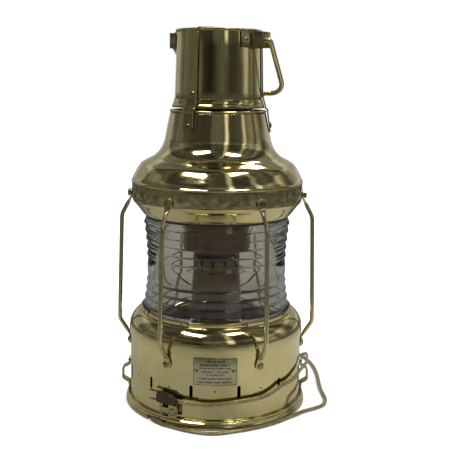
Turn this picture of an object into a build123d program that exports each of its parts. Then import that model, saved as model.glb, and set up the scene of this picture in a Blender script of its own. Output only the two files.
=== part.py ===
from build123d import *
from math import cos, pi, radians, sin, sqrt, tan
import os

# Electrified brass ship lantern. Millimetres, +Z up.
# Origin: centre of the foot ring on the table. -Y is the front (name plate side).
# Angles named "around" are degrees around +Z from the front, positive towards +X.

os.makedirs("parts", exist_ok=True)

# --- driving dimensions ---------------------------------------------------------
SHEET = 1.5                 # spun brass sheet
GAP = 0.3                   # gap between neighbouring curved faces

FOOT_R = 138.0              # foot ring
FOOT_H = 13.0
LEDGE_Z = 9.0               # ledge inside the foot ring that carries the tray
DRUM_R = 131.0              # base drum
DRUM_TOP = 107.3
DRUM_BOTTOM = LEDGE_Z + SHEET

LIP_R = 132.4               # rolled lip of the drum shoulder
SHOULDER_TOP = 142.5
SEAT_R = 115.5              # lens seat ring
SEAT_TOP = 148.5

LENS_BOTTOM = 146.0
LENS_TOP = 286.5
LENS_WAIST_Z = 210.0
LENS_WAIST_R = 104.9
LENS_END_R = 111.4
LENS_WALL = 6.5
RIB_DEPTH = 3.4

BOWL_R = 129.1              # upper bowl
BOWL_BOTTOM = 288.2
BOWL_TOP = 338.0
LID_R = 129.4               # dome lid
NECK_TOP_R = 71.6
NECK_TOP = 446.6

CHIMNEY_BOTTOM = 459.0
CHIMNEY_BOTTOM_R = 65.4
CHIMNEY_TOP = 561.4
CHIMNEY_TOP_R = 62.6
RIM_R = 64.6
RIM_TOP = 565.4
LAP_TOP = 566.6             # short folded lap on the rim
LAP_AROUND = (-28, -8)
FLARE_R = 69.4
FLARE_BOTTOM = 450.5

ROD_R = 3.15                # guard rods
ROD_TOP_R = 145.6           # distance of the straight stretch from the axis
ROD_FOOT_R = 149.5
ROD_EYE_TOP = 320.0
ROD_EYE_FOOT = 89.2
ROD_AROUND = [-151.5, -91.5, -31.5, 28.5, 88.5, 148.5]
BOLT_R = 2.5

STRAP_W = 16.5              # chimney straps
STRAP_T = 2.0
STRAP_AROUND = [-34, 86, 206]
STRAP_BOTTOM = 414.0
STRAP_BOTTOM_R = 77.9
STRAP_RIVET_Z = [425.0, 471.2]
STRAP_RIVET_R = 2.2

BAIL_AROUND = 60            # direction of the bail's pivot axis
BAIL_Z = 549.8
BAIL_WIRE_R = 3.7
BAIL_OUT = 72.0             # crossbar in front of the pivots, and below them
BAIL_DROP = 78.0
BAIL_HALF = 75.5
PIVOT_HALF = 85.5
BAIL_ELBOW_R = 5.2
BAIL_CORNER_R = 28.0
PIN_CLEARANCE = 0.08
BRACKET_OUT = 79.8
BRACKET_H = 23.0
BRACKET_HALF = 13.0
BRACKET_SEAT_R = 63.8
BRACKET_T = 2.0
FLANGE_SHORT = 17.5         # flange ends and screws, in degrees from a bracket's middle
FLANGE_LONG = 31.0
SCREW_SHORT = 14.0
SCREW_LONG = 23.2
SCREW_R = 1.5

LOOP_W = 14.0               # side loops on the drum
LOOP_T = 2.6
LOOP_RIVET_Z = [57.0, 17.5]

SLOT_Z = 54.0               # air slots and pin holes around the drum
SLOT_LENGTH = 17.5
SLOT_W = 5.0
PIN_HOLE_Z = 55.0
PIN_HOLE_R = 1.3

PLATE_W = 63.5              # name plate
PLATE_BOTTOM = 63.5
PLATE_TOP = 104.5
PLATE_T = 1.1
PLATE_SCREW = 25.6
PLATE_SCREW_Z = 86.0

LATCH_AROUND = -34.0        # latch on the lower edge of the drum
LATCH_Z = 23.0
LATCH_REACH = 21.0          # hinge pin to keeper
KEEPER_R = 4.4

FLUE_R = 54.0               # inner flue under the neck
FLUE_BOTTOM = 230.0
FLUE_TOP = 454.0
FLUE_ARM_Z = 428.0
FLUE_ARM_END = 73.0
ARM_AROUND = (24, 144, 264)
BURNER_R = 37.0
BURNER_TOP = 197.0
CROWN_H = 17.0
SOCKET_R = 33.0
SOCKET_H = 25.0
BULB_R = 20.0
FONT_R = 92.0
FONT_TOP = 88.0

CORD_R = 2.6                # the flex lies on the table and around the drum
CORD_Z = 2.7
EXIT_AROUND = -38.0         # the flex leaves the foot here, slanting to the right
EXIT_TURN = 74.0
COIL_X = 30.0
COIL_Y = 196.0
COIL_R = 34.3
COIL_HALF_W = 6.7
COIL_TOP = 11.6

PLUG_AROUND = -30.5
PLUG_R = 138.0
PLUG_Z = 41.0
PLUG_TILT = -2.0
PLUG_LENGTH = 27.0
PLUG_H = 16.0
PLUG_THICK = 11.0
PRONG_LENGTH = 15.0
PRONG_SPACING = 12.7


# --- helpers --------------------------------------------------------------------
def outward(around):
    return Vector(sin(radians(around)), -cos(radians(around)), 0)


def facing(around, radius, height):
    """Plane whose normal points straight out of the wall, local y up."""
    out = outward(around)
    return Plane(origin=out * radius + Vector(0, 0, height), x_dir=Vector(0, 0, 1).cross(out), z_dir=out)


def upright(around):
    """Plane through the axis: local x is the radius and local y the height."""
    out = outward(around)
    return Plane(origin=(0, 0, 0), x_dir=out, z_dir=out.cross(Vector(0, 0, 1)))


def shifted(points, depth):
    """The same open outline, moved to the left of its travel by depth."""
    moved = []
    last = len(points) - 1
    for i, point in enumerate(points):
        before = points[max(i - 1, 0)]
        after = points[min(i + 1, last)]
        run = (after[0] - before[0], after[1] - before[1])
        length = sqrt(run[0] ** 2 + run[1] ** 2)
        moved.append((point[0] - depth * run[1] / length, point[1] + depth * run[0] / length))
    return moved


def polygon_face(points, plane=Plane.XZ):
    with BuildSketch(plane) as face:
        with BuildLine():
            Polyline(*points, close=True)
        make_face()
    return face.sketch


def sheet_face(points, depth, plane=Plane.XZ):
    """Section of a bent sheet whose outer face runs through the points, going up."""
    return polygon_face(points + shifted(points, depth)[::-1], plane)


def curved_sheet_face(points, depth):
    """The same, with a smooth curve through the points."""
    inner = shifted(points, depth)
    with BuildSketch(Plane.XZ) as face:
        with BuildLine():
            Spline(*points)
            Line(points[-1], inner[-1])
            Spline(*inner[::-1])
            Line(inner[0], points[0])
        make_face()
    return face.sketch


def radial_rods(arounds, heights, radius, length, rod_r, mode=Mode.ADD):
    for around in arounds:
        for height in heights:
            with Locations(facing(around, radius, height)):
                Cylinder(rod_r, length, align=(Align.CENTER, Align.CENTER, Align.MIN), mode=mode)


def domed_heads(arounds, heights, radius, head_r, head_h):
    for around in arounds:
        for height in heights:
            with Locations(facing(around, radius, height)):
                Cone(head_r, head_r * 0.55, head_h, align=(Align.CENTER, Align.CENTER, Align.MIN))


def chimney_radius(height):
    share = (height - CHIMNEY_BOTTOM) / (CHIMNEY_TOP - CHIMNEY_BOTTOM)
    return CHIMNEY_BOTTOM_R + share * (CHIMNEY_TOP_R - CHIMNEY_BOTTOM_R)


def keep(piece, name):
    piece.part.label = name
    export_step(piece.part, f"parts/{name}.step")


# --- foot, tray and drum ----------------------------------------------------------
exit_direction = outward(EXIT_AROUND + EXIT_TURN)
exit_plane = Plane(origin=outward(EXIT_AROUND) * (FOOT_R - 1.7), x_dir=exit_direction, z_dir=(0, 0, 1))

with BuildPart() as foot_ring:
    revolve(
        polygon_face([
            (FOOT_R - 3.5, 0), (FOOT_R, 0), (FOOT_R, 5), (FOOT_R - 1, 6.5), (FOOT_R - 1, 9.5),
            (FOOT_R - 2.5, 11), (FOOT_R - 2.5, FOOT_H), (DRUM_R + 0.2, FOOT_H), (DRUM_R + 0.2, LEDGE_Z),
            (DRUM_R - 9, LEDGE_Z), (DRUM_R - 9, LEDGE_Z - 1.5), (FOOT_R - 3.5, LEDGE_Z - 1.5),
        ]),
        axis=Axis.Z,
    )
    with Locations(exit_plane):
        Box(34, 11, 7.2, align=(Align.CENTER, Align.CENTER, Align.MIN), mode=Mode.SUBTRACT)
keep(foot_ring, "foot_ring")

with BuildPart() as base_tray:
    with BuildSketch(Plane.XY.offset(LEDGE_Z)):
        Circle(DRUM_R)
        Circle(5, mode=Mode.SUBTRACT)
    extrude(amount=SHEET)
keep(base_tray, "base_tray")

with BuildPart() as drum_shell:
    with BuildSketch(Plane.XY.offset(DRUM_BOTTOM)):
        Circle(DRUM_R)
        Circle(DRUM_R - SHEET, mode=Mode.SUBTRACT)
    extrude(amount=DRUM_TOP - DRUM_BOTTOM)
    with BuildSketch(*[facing(15 + 30 * i, DRUM_R + 2, SLOT_Z) for i in range(12)]):
        SlotOverall(SLOT_LENGTH, SLOT_W, rotation=90)
    extrude(amount=-6, mode=Mode.SUBTRACT)
    clear_of_loops = [30 * i for i in range(12) if i not in (3, 9)]
    radial_rods(clear_of_loops, [PIN_HOLE_Z], DRUM_R - 3, 6, PIN_HOLE_R, Mode.SUBTRACT)
    radial_rods(ROD_AROUND, [ROD_EYE_FOOT], DRUM_R - 3, 6, BOLT_R + 0.05, Mode.SUBTRACT)
    radial_rods([-90, 90], LOOP_RIVET_Z, DRUM_R - 3, 6, 2.05, Mode.SUBTRACT)
keep(drum_shell, "drum_shell")

with BuildPart() as drum_shoulder:
    revolve(
        sheet_face([
            (LIP_R, DRUM_TOP), (LIP_R + 0.2, 112), (LIP_R, 121.5), (131.4, 126), (129.4, 130.4),
            (124.7, 136.7), (120.3, 140.8), (116.5, SHOULDER_TOP), (100, SHOULDER_TOP),
        ], SHEET),
        axis=Axis.Z,
    )
keep(drum_shoulder, "drum_shoulder")

with BuildPart() as lens_seat_ring:
    revolve(
        polygon_face([
            (102, SHOULDER_TOP), (SEAT_R, SHOULDER_TOP), (SEAT_R, SEAT_TOP), (SEAT_R - 2.4, SEAT_TOP),
            (SEAT_R - 2.4, SHOULDER_TOP + 1.5), (102, SHOULDER_TOP + 1.5),
        ]),
        axis=Axis.Z,
    )
    for i in range(9):
        with Locations(facing(20 + 40 * i, SEAT_R - 3, SEAT_TOP)):
            Box(3.4, 7.6, 8, mode=Mode.SUBTRACT)
keep(lens_seat_ring, "lens_seat_ring")

with BuildPart() as lens_gasket_lower:
    with BuildSketch(Plane.XY.offset(SHOULDER_TOP + 1.5)):
        Circle(SEAT_R - 2.7)
        Circle(103, mode=Mode.SUBTRACT)
    extrude(amount=LENS_BOTTOM - SHOULDER_TOP - 1.5)
keep(lens_gasket_lower, "lens_gasket_lower")


# --- fresnel lens -------------------------------------------------------------------
def lens_radius(height):
    """Outer radius of the lens without its ribs: a waisted barrel."""
    half = LENS_TOP - LENS_WAIST_Z if height > LENS_WAIST_Z else LENS_WAIST_Z - LENS_BOTTOM
    return LENS_WAIST_R + (LENS_END_R - LENS_WAIST_R) * ((height - LENS_WAIST_Z) / half) ** 2


RIB_PITCH = 12.5
UPPER_RIBS = [226.6 + RIB_PITCH * i for i in range(5)]
LOWER_RIBS = [190.0 - RIB_PITCH * i for i in range(4)]

with BuildPart() as fresnel_lens:
    rim = []
    for ridge in LOWER_RIBS[::-1]:
        root = max(ridge - RIB_PITCH + 0.8, LENS_BOTTOM + 1)
        rim.append((lens_radius(root) - RIB_DEPTH * 0.5, root))
        rim.append((lens_radius(ridge) + RIB_DEPTH * 0.5, ridge))
    rim.append((lens_radius(LOWER_RIBS[0]) - RIB_DEPTH * 0.5, LOWER_RIBS[0] + 1.2))
    rim.append((LENS_WAIST_R + 1.2, (LOWER_RIBS[0] + UPPER_RIBS[0]) / 2))
    for ridge in UPPER_RIBS:
        rim.append((lens_radius(ridge) - RIB_DEPTH * 0.5, ridge - 1.2))
        rim.append((lens_radius(ridge) + RIB_DEPTH * 0.5, ridge))
    rim.append((lens_radius(LENS_TOP) - RIB_DEPTH, LENS_TOP - 1))
    bore = [(r - LENS_WALL, z) for r, z in [
        (LENS_END_R, LENS_TOP), (106.9, 262), (LENS_WAIST_R, 236), (LENS_WAIST_R, 184), (106.9, 164),
        (LENS_END_R, LENS_BOTTOM),
    ]]
    outline = [(LENS_END_R - RIB_DEPTH, LENS_BOTTOM)] + rim + [(LENS_END_R - RIB_DEPTH, LENS_TOP)] + bore
    revolve(polygon_face(outline), axis=Axis.Z)
keep(fresnel_lens, "fresnel_lens")

with BuildPart() as lens_gasket_upper:
    with BuildSketch(Plane.XY.offset(LENS_TOP)):
        Circle(LENS_END_R - 3)
        Circle(102, mode=Mode.SUBTRACT)
    extrude(amount=BOWL_BOTTOM - LENS_TOP)
keep(lens_gasket_upper, "lens_gasket_upper")

# --- upper bowl --------------------------------------------------------------------
with BuildPart() as bowl:
    revolve(
        sheet_face([
            (99, BOWL_BOTTOM), (108, BOWL_BOTTOM), (111.2, 290.6), (114.4, 293.8), (118.7, 300),
            (123.1, 305.5), (126.8, 309.2), (BOWL_R - 0.4, 312.5), (BOWL_R, 316), (BOWL_R, BOWL_TOP),
        ], SHEET),
        axis=Axis.Z,
    )
    radial_rods(ROD_AROUND, [ROD_EYE_TOP], BOWL_R - 3, 6, BOLT_R + 0.05, Mode.SUBTRACT)
keep(bowl, "bowl")

# --- guard rods and their bolts ------------------------------------------------------
EYE_T = 3.2
FOOT_EYE_T = 3.0

for number, around in enumerate(ROD_AROUND, start=1):
    with BuildPart() as guard_rod:
        with BuildLine(upright(around)) as route:
            FilletPolyline(
                (DRUM_R + 2.4, ROD_EYE_FOOT + 9), (ROD_FOOT_R, ROD_EYE_FOOT + 33),
                (ROD_TOP_R, ROD_EYE_TOP - 34), (BOWL_R + 4.0, ROD_EYE_TOP - 6), radius=[16, 22],
            )
        with BuildSketch(Plane(origin=route.line @ 0, z_dir=route.line % 0)):
            Circle(ROD_R)
        sweep()
        with BuildSketch(facing(around, BOWL_R + GAP, ROD_EYE_TOP)):
            Circle(7.5)
        extrude(amount=EYE_T)
        with BuildSketch(facing(around, DRUM_R + GAP, ROD_EYE_FOOT)):
            with BuildLine():
                Line((-7, 0), (-3.2, 13))
                Line((-3.2, 13), (3.2, 13))
                Line((3.2, 13), (7, 0))
                ThreePointArc((7, 0), (0, -7), (-7, 0))
            make_face()
        extrude(amount=FOOT_EYE_T)
        # nothing of the rod may reach into the walls or the lip behind it
        with BuildSketch(Plane.XY.offset(DRUM_TOP - 1)):
            Circle(LIP_R + 0.5)
        extrude(amount=30, mode=Mode.SUBTRACT)
        with BuildSketch(Plane.XY.offset(ROD_EYE_FOOT - 20)):
            Circle(DRUM_R + 0.2)
        extrude(amount=40, mode=Mode.SUBTRACT)
        with BuildSketch(Plane.XY.offset(ROD_EYE_TOP - 20)):
            Circle(BOWL_R + 0.2)
        extrude(amount=40, mode=Mode.SUBTRACT)
        radial_rods([around], [ROD_EYE_FOOT], DRUM_R - 3, 12, BOLT_R + 0.05, Mode.SUBTRACT)
        radial_rods([around], [ROD_EYE_TOP], BOWL_R - 3, 16, BOLT_R + 0.05, Mode.SUBTRACT)
    keep(guard_rod, f"guard_rod_{number}")

with BuildPart() as rod_bolts_top:
    radial_rods(ROD_AROUND, [ROD_EYE_TOP], BOWL_R - 4, 4 + GAP + EYE_T, BOLT_R)
    with BuildSketch(*[facing(around, BOWL_R + GAP + EYE_T, ROD_EYE_TOP) for around in ROD_AROUND]):
        RegularPolygon(5.4, 6)
    extrude(amount=3.6)
keep(rod_bolts_top, "rod_bolts_top")

with BuildPart() as rod_bolts_foot:
    radial_rods(ROD_AROUND, [ROD_EYE_FOOT], DRUM_R - 4, 4 + GAP + FOOT_EYE_T, BOLT_R)
    domed_heads(ROD_AROUND, [ROD_EYE_FOOT], DRUM_R + GAP + FOOT_EYE_T, 4.8, 2.8)
keep(rod_bolts_foot, "rod_bolts_foot")

# --- side loops ---------------------------------------------------------------------
for name, around in (("side_loop_right", 90), ("side_loop_left", -90)):
    with BuildPart() as side_loop:
        inner_face = DRUM_R + GAP
        bent = [
            (inner_face, 63), (inner_face, 51.5), (inner_face + 8.5, 48), (inner_face + 11, 43),
            (inner_face + 11, 30.5), (inner_face + 8.5, 26), (inner_face, 22.5), (inner_face, 13.6),
        ]
        with BuildSketch(upright(around)):
            with BuildLine():
                Polyline(*bent, *shifted(bent, LOOP_T)[::-1], close=True)
            make_face()
        extrude(amount=LOOP_W / 2, both=True)
        radial_rods([around], LOOP_RIVET_Z, DRUM_R - 3, 12, 2.05, Mode.SUBTRACT)
    keep(side_loop, name)

with BuildPart() as side_loop_rivets:
    radial_rods([-90, 90], LOOP_RIVET_Z, DRUM_R - 3, 3 + GAP + LOOP_T, 2.0)
    domed_heads([-90, 90], LOOP_RIVET_Z, DRUM_R + GAP + LOOP_T, 3.6, 1.9)
keep(side_loop_rivets, "side_loop_rivets")

# --- name plate -----------------------------------------------------------------------
with BuildPart() as name_plate:
    with BuildSketch(Plane.XY.offset(PLATE_BOTTOM - 5)):
        Circle(DRUM_R + 0.2 + PLATE_T)
        Circle(DRUM_R + 0.2, mode=Mode.SUBTRACT)
    extrude(amount=PLATE_TOP - PLATE_BOTTOM + 10)
    with BuildSketch(facing(0, DRUM_R + 10, (PLATE_BOTTOM + PLATE_TOP) / 2)):
        RectangleRounded(PLATE_W, PLATE_TOP - PLATE_BOTTOM, 4)
    extrude(amount=-40, mode=Mode.INTERSECT)
    for x in (-PLATE_SCREW, PLATE_SCREW):
        with Locations(facing(0, DRUM_R + 6, PLATE_SCREW_Z) * Pos(x, 0, 0)):
            Cylinder(1.55, 24, mode=Mode.SUBTRACT)
keep(name_plate, "name_plate")

wall_at_screw = sqrt(DRUM_R ** 2 - PLATE_SCREW ** 2)
with BuildPart() as plate_screws:
    for x in (-PLATE_SCREW, PLATE_SCREW):
        with Locations(facing(0, 0, PLATE_SCREW_Z) * Pos(x, 0, wall_at_screw + 0.7)):
            Cylinder(1.5, 1.9, align=(Align.CENTER, Align.CENTER, Align.MIN))
        with Locations(facing(0, 0, PLATE_SCREW_Z) * Pos(x, 0, wall_at_screw + 2.0)):
            Cone(2.9, 1.9, 1.5, align=(Align.CENTER, Align.CENTER, Align.MIN))
keep(plate_screws, "plate_screws")

# --- latch ----------------------------------------------------------------------------
latch_plane = facing(LATCH_AROUND, DRUM_R + GAP, LATCH_Z)
PIN_OUT = 5.0               # hinge pin in front of the plate's back face
KNUCKLE_R = 3.3
LATCH_PIN_R = 1.6
ARM_OUT = 3.6

with BuildPart() as latch_bracket:
    with BuildSketch(latch_plane):
        RectangleRounded(13, 19, 1.5)
    extrude(amount=2)
    for low in (-9.5, 5):
        with Locations(latch_plane * Pos(0, low, PIN_OUT) * Rot(-90, 0, 0)):
            Cylinder(KNUCKLE_R, 4.5, align=(Align.CENTER, Align.CENTER, Align.MIN))
    with Locations(latch_plane * Pos(0, 0, PIN_OUT) * Rot(90, 0, 0)):
        Cylinder(KNUCKLE_R + 0.3, 9.98, mode=Mode.SUBTRACT)
        Cylinder(LATCH_PIN_R + 0.02, 40, mode=Mode.SUBTRACT)
keep(latch_bracket, "latch_bracket")

with BuildPart() as latch_pin:
    with Locations(latch_plane * Pos(0, 0, PIN_OUT) * Rot(90, 0, 0)):
        Cylinder(LATCH_PIN_R, 19.4)
keep(latch_pin, "latch_pin")

with BuildPart() as latch_lever:
    with Locations(latch_plane * Pos(0, 0, PIN_OUT) * Rot(90, 0, 0)):
        Cylinder(KNUCKLE_R, 9.4)
    with Locations(latch_plane * Pos(0, 0, PIN_OUT + 1.2)):
        Box(LATCH_REACH - 6, 8, 2, align=(Align.MIN, Align.CENTER, Align.CENTER))
    with BuildSketch(latch_plane.offset(PIN_OUT + 0.2)):
        with Locations((LATCH_REACH, 0)):
            RectangleRounded(15, 19, 1.8)
    extrude(amount=2)
    with Locations(latch_plane * Pos(LATCH_REACH, 0, PIN_OUT)):
        Cylinder(KEEPER_R + 0.8, 12, mode=Mode.SUBTRACT)
    with Locations(latch_plane * Pos(0, 0, PIN_OUT) * Rot(90, 0, 0)):
        Cylinder(LATCH_PIN_R + 0.05, 40, mode=Mode.SUBTRACT)
keep(latch_lever, "latch_lever")

with BuildPart() as latch_keeper:
    with Locations(latch_plane * Pos(LATCH_REACH, 0, 0)):
        Cylinder(KEEPER_R, PIN_OUT + 3.2, align=(Align.CENTER, Align.CENTER, Align.MIN))
        with Locations((0, 0, -4)):
            Cylinder(KEEPER_R, 8, align=(Align.CENTER, Align.CENTER, Align.MIN))
    with BuildSketch(Plane.XY):
        Circle(DRUM_R + 0.1)
    extrude(amount=60, mode=Mode.SUBTRACT)
    with Locations(latch_plane * Pos(LATCH_REACH, 0, PIN_OUT + 3.2)):
        Box(1.0, 7.6, 1.6, mode=Mode.SUBTRACT)
keep(latch_keeper, "latch_keeper")

# --- lamp inside ------------------------------------------------------------------------
with BuildPart() as font:
    tank = [
        (FONT_R, DRUM_BOTTOM), (FONT_R, FONT_TOP - 22), (FONT_R - 6, FONT_TOP - 10),
        (FONT_R - 24, FONT_TOP - 3), (BURNER_R + 8, FONT_TOP), (BURNER_R - 12, FONT_TOP),
    ]
    tank_inside = shifted(tank, 1.2)[::-1]
    tank_inside[-1] = (tank_inside[-1][0], DRUM_BOTTOM + 1.2)
    revolve(
        polygon_face([(0, DRUM_BOTTOM)] + tank + tank_inside + [(0, DRUM_BOTTOM + 1.2)]),
        axis=Axis.Z,
    )
keep(font, "font")

with BuildPart() as burner_tube:
    revolve(
        sheet_face([
            (BURNER_R + 6, FONT_TOP), (BURNER_R + 6, FONT_TOP + 3), (BURNER_R, FONT_TOP + 9), (BURNER_R, 140),
            (BURNER_R + 1.5, 142), (BURNER_R, 144), (BURNER_R, BURNER_TOP), (12, BURNER_TOP),
        ], 1.2),
        axis=Axis.Z,
    )
keep(burner_tube, "burner_tube")

with BuildPart() as burner_crown:
    with BuildSketch(Plane.XY.offset(BURNER_TOP)):
        Circle(BURNER_R - 0.4)
        Circle(BURNER_R - 1.6, mode=Mode.SUBTRACT)
    extrude(amount=CROWN_H)
    with BuildSketch(*[facing(30 * i, BURNER_R + 3, BURNER_TOP + CROWN_H) for i in range(12)]):
        with BuildLine():
            Polyline((-9.6, 0.5), (-1.2, 0.5), (-5.2, -13.5), close=True)
        make_face()
    extrude(amount=-9, mode=Mode.SUBTRACT)
    with BuildSketch(*[facing(30 * i, BURNER_R + 3, BURNER_TOP + 2.5) for i in range(12)]):
        with BuildLine():
            Polyline((-3.4, 0), (3.4, 0), (0, 9.5), close=True)
        make_face()
    extrude(amount=-9, mode=Mode.SUBTRACT)
keep(burner_crown, "burner_crown")

with BuildPart() as lamp_socket:
    with BuildSketch(Plane.XY.offset(BURNER_TOP)):
        Circle(SOCKET_R)
    extrude(amount=SOCKET_H)
    fillet(lamp_socket.edges().group_by(Axis.Z)[-1], 5)
keep(lamp_socket, "lamp_socket")

with BuildPart() as bulb:
    with Locations((0, 0, BURNER_TOP + SOCKET_H)):
        Cylinder(12.5, 18, align=(Align.CENTER, Align.CENTER, Align.MIN))
    with Locations((0, 0, BURNER_TOP + SOCKET_H + BULB_R + 8)):
        Sphere(BULB_R)
keep(bulb, "bulb")

# --- dome lid with its flue -------------------------------------------------------------
with BuildPart() as dome_lid:
    revolve(
        curved_sheet_face([
            (128.6, 342.2), (123.6, 353.9), (115.6, 365.9), (96.5, 377.9), (84.1, 389.9), (79.6, 402),
            (NECK_TOP_R + 0.6, NECK_TOP - 3.8),
        ], SHEET),
        axis=Axis.Z,
    )
    revolve(
        polygon_face([
            (126.9, BOWL_TOP - 9), (BOWL_R - SHEET - 0.5, BOWL_TOP - 9),
            (BOWL_R - SHEET - 0.5, BOWL_TOP + 0.05), (LID_R + 0.4, BOWL_TOP + 0.05),
            (LID_R + 0.8, BOWL_TOP + 2.2), (128.8, 342.3), (125.6, 342.3),
        ]),
        axis=Axis.Z,
    )
keep(dome_lid, "dome_lid")

with BuildPart() as neck_rim:
    with BuildSketch(Plane.XZ):
        with Locations((NECK_TOP_R - 0.6, NECK_TOP - 1.3)):
            Circle(1.9)
    revolve(axis=Axis.Z)
    with BuildSketch(Plane.XY.offset(NECK_TOP - 3.8)):
        Circle(NECK_TOP_R + 0.6)
        Circle(NECK_TOP_R - 2, mode=Mode.SUBTRACT)
    extrude(amount=2.4)
keep(neck_rim, "neck_rim")

with BuildPart() as inner_flue:
    with BuildSketch(Plane.XY.offset(FLUE_BOTTOM)):
        Circle(FLUE_R)
        Circle(FLUE_R - 1.2, mode=Mode.SUBTRACT)
    extrude(amount=FLUE_TOP - FLUE_BOTTOM)
    for around in ARM_AROUND:
        with Locations(facing(around, FLUE_R - 0.6, FLUE_ARM_Z)):
            Box(10, 1.6, FLUE_ARM_END - FLUE_R + 0.6, align=(Align.CENTER, Align.CENTER, Align.MIN))
keep(inner_flue, "inner_flue")

# --- chimney ----------------------------------------------------------------------------
bracket_screws_at = [
    BAIL_AROUND - SCREW_LONG, BAIL_AROUND + SCREW_SHORT,
    BAIL_AROUND + 180 - SCREW_SHORT, BAIL_AROUND + 180 + SCREW_LONG,
]

with BuildPart() as chimney_shell:
    revolve(
        sheet_face([(CHIMNEY_BOTTOM_R, CHIMNEY_BOTTOM), (CHIMNEY_TOP_R, CHIMNEY_TOP)], SHEET),
        axis=Axis.Z,
    )
    radial_rods(STRAP_AROUND, STRAP_RIVET_Z[1:], chimney_radius(STRAP_RIVET_Z[1]) - 4, 8,
                STRAP_RIVET_R + 0.05, Mode.SUBTRACT)
    radial_rods(bracket_screws_at, [BAIL_Z], chimney_radius(BAIL_Z) - 4, 8, SCREW_R + 0.05, Mode.SUBTRACT)
keep(chimney_shell, "chimney_shell")

with BuildPart() as chimney_rim:
    with BuildSketch(Plane.XZ):
        with Locations((RIM_R - 2.2, (CHIMNEY_TOP + RIM_TOP) / 2)):
            RectangleRounded(4.4, RIM_TOP - CHIMNEY_TOP, 1.6)
    revolve(axis=Axis.Z)
    with BuildSketch(upright(LAP_AROUND[0])):
        with Locations((RIM_R - 2.2, (CHIMNEY_TOP + LAP_TOP) / 2)):
            Rectangle(3.6, LAP_TOP - CHIMNEY_TOP)
    revolve(axis=Axis.Z, revolution_arc=LAP_AROUND[1] - LAP_AROUND[0])
keep(chimney_rim, "chimney_rim")

with BuildPart() as chimney_flare:
    revolve(
        sheet_face([
            (FLARE_R, FLARE_BOTTOM), (FLARE_R, 453.5), (67.9, 456.5), (67.0, 459.5), (66.8, 463),
        ], 1.2),
        axis=Axis.Z,
    )
keep(chimney_flare, "chimney_flare")

with BuildPart() as smoke_baffle:
    revolve(
        sheet_face([(48, 524), (22, 534), (4, 537)], 1.2),
        axis=Axis.Z,
    )
    for around in ARM_AROUND:
        with Locations(facing(around, 44, 525.4)):
            Box(9, 1.4, 17.6, align=(Align.CENTER, Align.CENTER, Align.MIN))
keep(smoke_baffle, "smoke_baffle")

# inner face of a strap, from the neck up to the rim
strap_line = [
    (STRAP_BOTTOM_R, STRAP_BOTTOM), (73.8, 442.5), (73.6, 447.6), (FLARE_R + 0.5, 450.6),
    (FLARE_R + 0.5, 454.5), (68.4, 457.5), (67.3, 463.6), (chimney_radius(466) + GAP, 466),
    (chimney_radius(560) + GAP, 560),
]
for number, around in enumerate(STRAP_AROUND, start=1):
    with BuildPart() as chimney_strap:
        with BuildSketch(upright(around)):
            with BuildLine():
                Polyline(*strap_line, *shifted(strap_line, -STRAP_T)[::-1], close=True)
            make_face()
        extrude(amount=STRAP_W / 2, both=True)
        fillet(chimney_strap.edges().filter_by(lambda edge: edge.length < 2.6).sort_by(Axis.Z)[:2], 7.5)
        radial_rods([around], STRAP_RIVET_Z, 55, 35, STRAP_RIVET_R + 0.05, Mode.SUBTRACT)
    keep(chimney_strap, f"chimney_strap_{number}")

neck_rivet_r = STRAP_BOTTOM_R + (STRAP_RIVET_Z[0] - STRAP_BOTTOM) * (73.8 - STRAP_BOTTOM_R) / 28.5
wall_rivet_r = chimney_radius(STRAP_RIVET_Z[1]) + GAP
with BuildPart() as strap_rivets:
    radial_rods(STRAP_AROUND, STRAP_RIVET_Z[:1], neck_rivet_r + 0.5, STRAP_T + 0.7, STRAP_RIVET_R)
    domed_heads(STRAP_AROUND, STRAP_RIVET_Z[:1], neck_rivet_r + STRAP_T + 1.1, 4.6, 2.4)
    radial_rods(STRAP_AROUND, STRAP_RIVET_Z[1:], wall_rivet_r - 3.5, STRAP_T + 3.7, STRAP_RIVET_R)
    domed_heads(STRAP_AROUND, STRAP_RIVET_Z[1:], wall_rivet_r + STRAP_T + 0.2, 4.6, 2.4)
keep(strap_rivets, "strap_rivets")

# --- bail and its brackets ----------------------------------------------------------------
# each bracket's longer flange points away from the strap beside it
for name, around, before, after in (
    ("bail_bracket_front", BAIL_AROUND, FLANGE_LONG, FLANGE_SHORT),
    ("bail_bracket_back", BAIL_AROUND + 180, FLANGE_SHORT, FLANGE_LONG),
):
    flat = Plane(origin=(0, 0, BAIL_Z - BRACKET_H / 2), x_dir=outward(around), z_dir=(0, 0, 1))
    with BuildPart() as bail_bracket:
        with BuildSketch(flat):
            Circle(BRACKET_SEAT_R + BRACKET_T)
            Circle(BRACKET_SEAT_R, mode=Mode.SUBTRACT)
            with BuildLine():
                Polyline(
                    (0, 0), (90, 90 * tan(radians(after))), (90, -90 * tan(radians(before))), close=True,
                )
            make_face(mode=Mode.INTERSECT)
            with Locations((BRACKET_OUT, 0)):
                Rectangle(BRACKET_OUT - BRACKET_SEAT_R + 2, 2 * BRACKET_HALF, align=(Align.MAX, Align.CENTER))
            with Locations((BRACKET_OUT - BRACKET_T, 0)):
                inside = 2 * (BRACKET_HALF - BRACKET_T)
                Rectangle(30, inside, align=(Align.MAX, Align.CENTER), mode=Mode.SUBTRACT)
            Circle(BRACKET_SEAT_R, mode=Mode.SUBTRACT)
        extrude(amount=BRACKET_H)
        radial_rods([around], [BAIL_Z], BRACKET_OUT - 6, 12, BAIL_WIRE_R + PIN_CLEARANCE, Mode.SUBTRACT)
        radial_rods(bracket_screws_at, [BAIL_Z], 58, 9, SCREW_R + 0.05, Mode.SUBTRACT)
    keep(bail_bracket, name)

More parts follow.
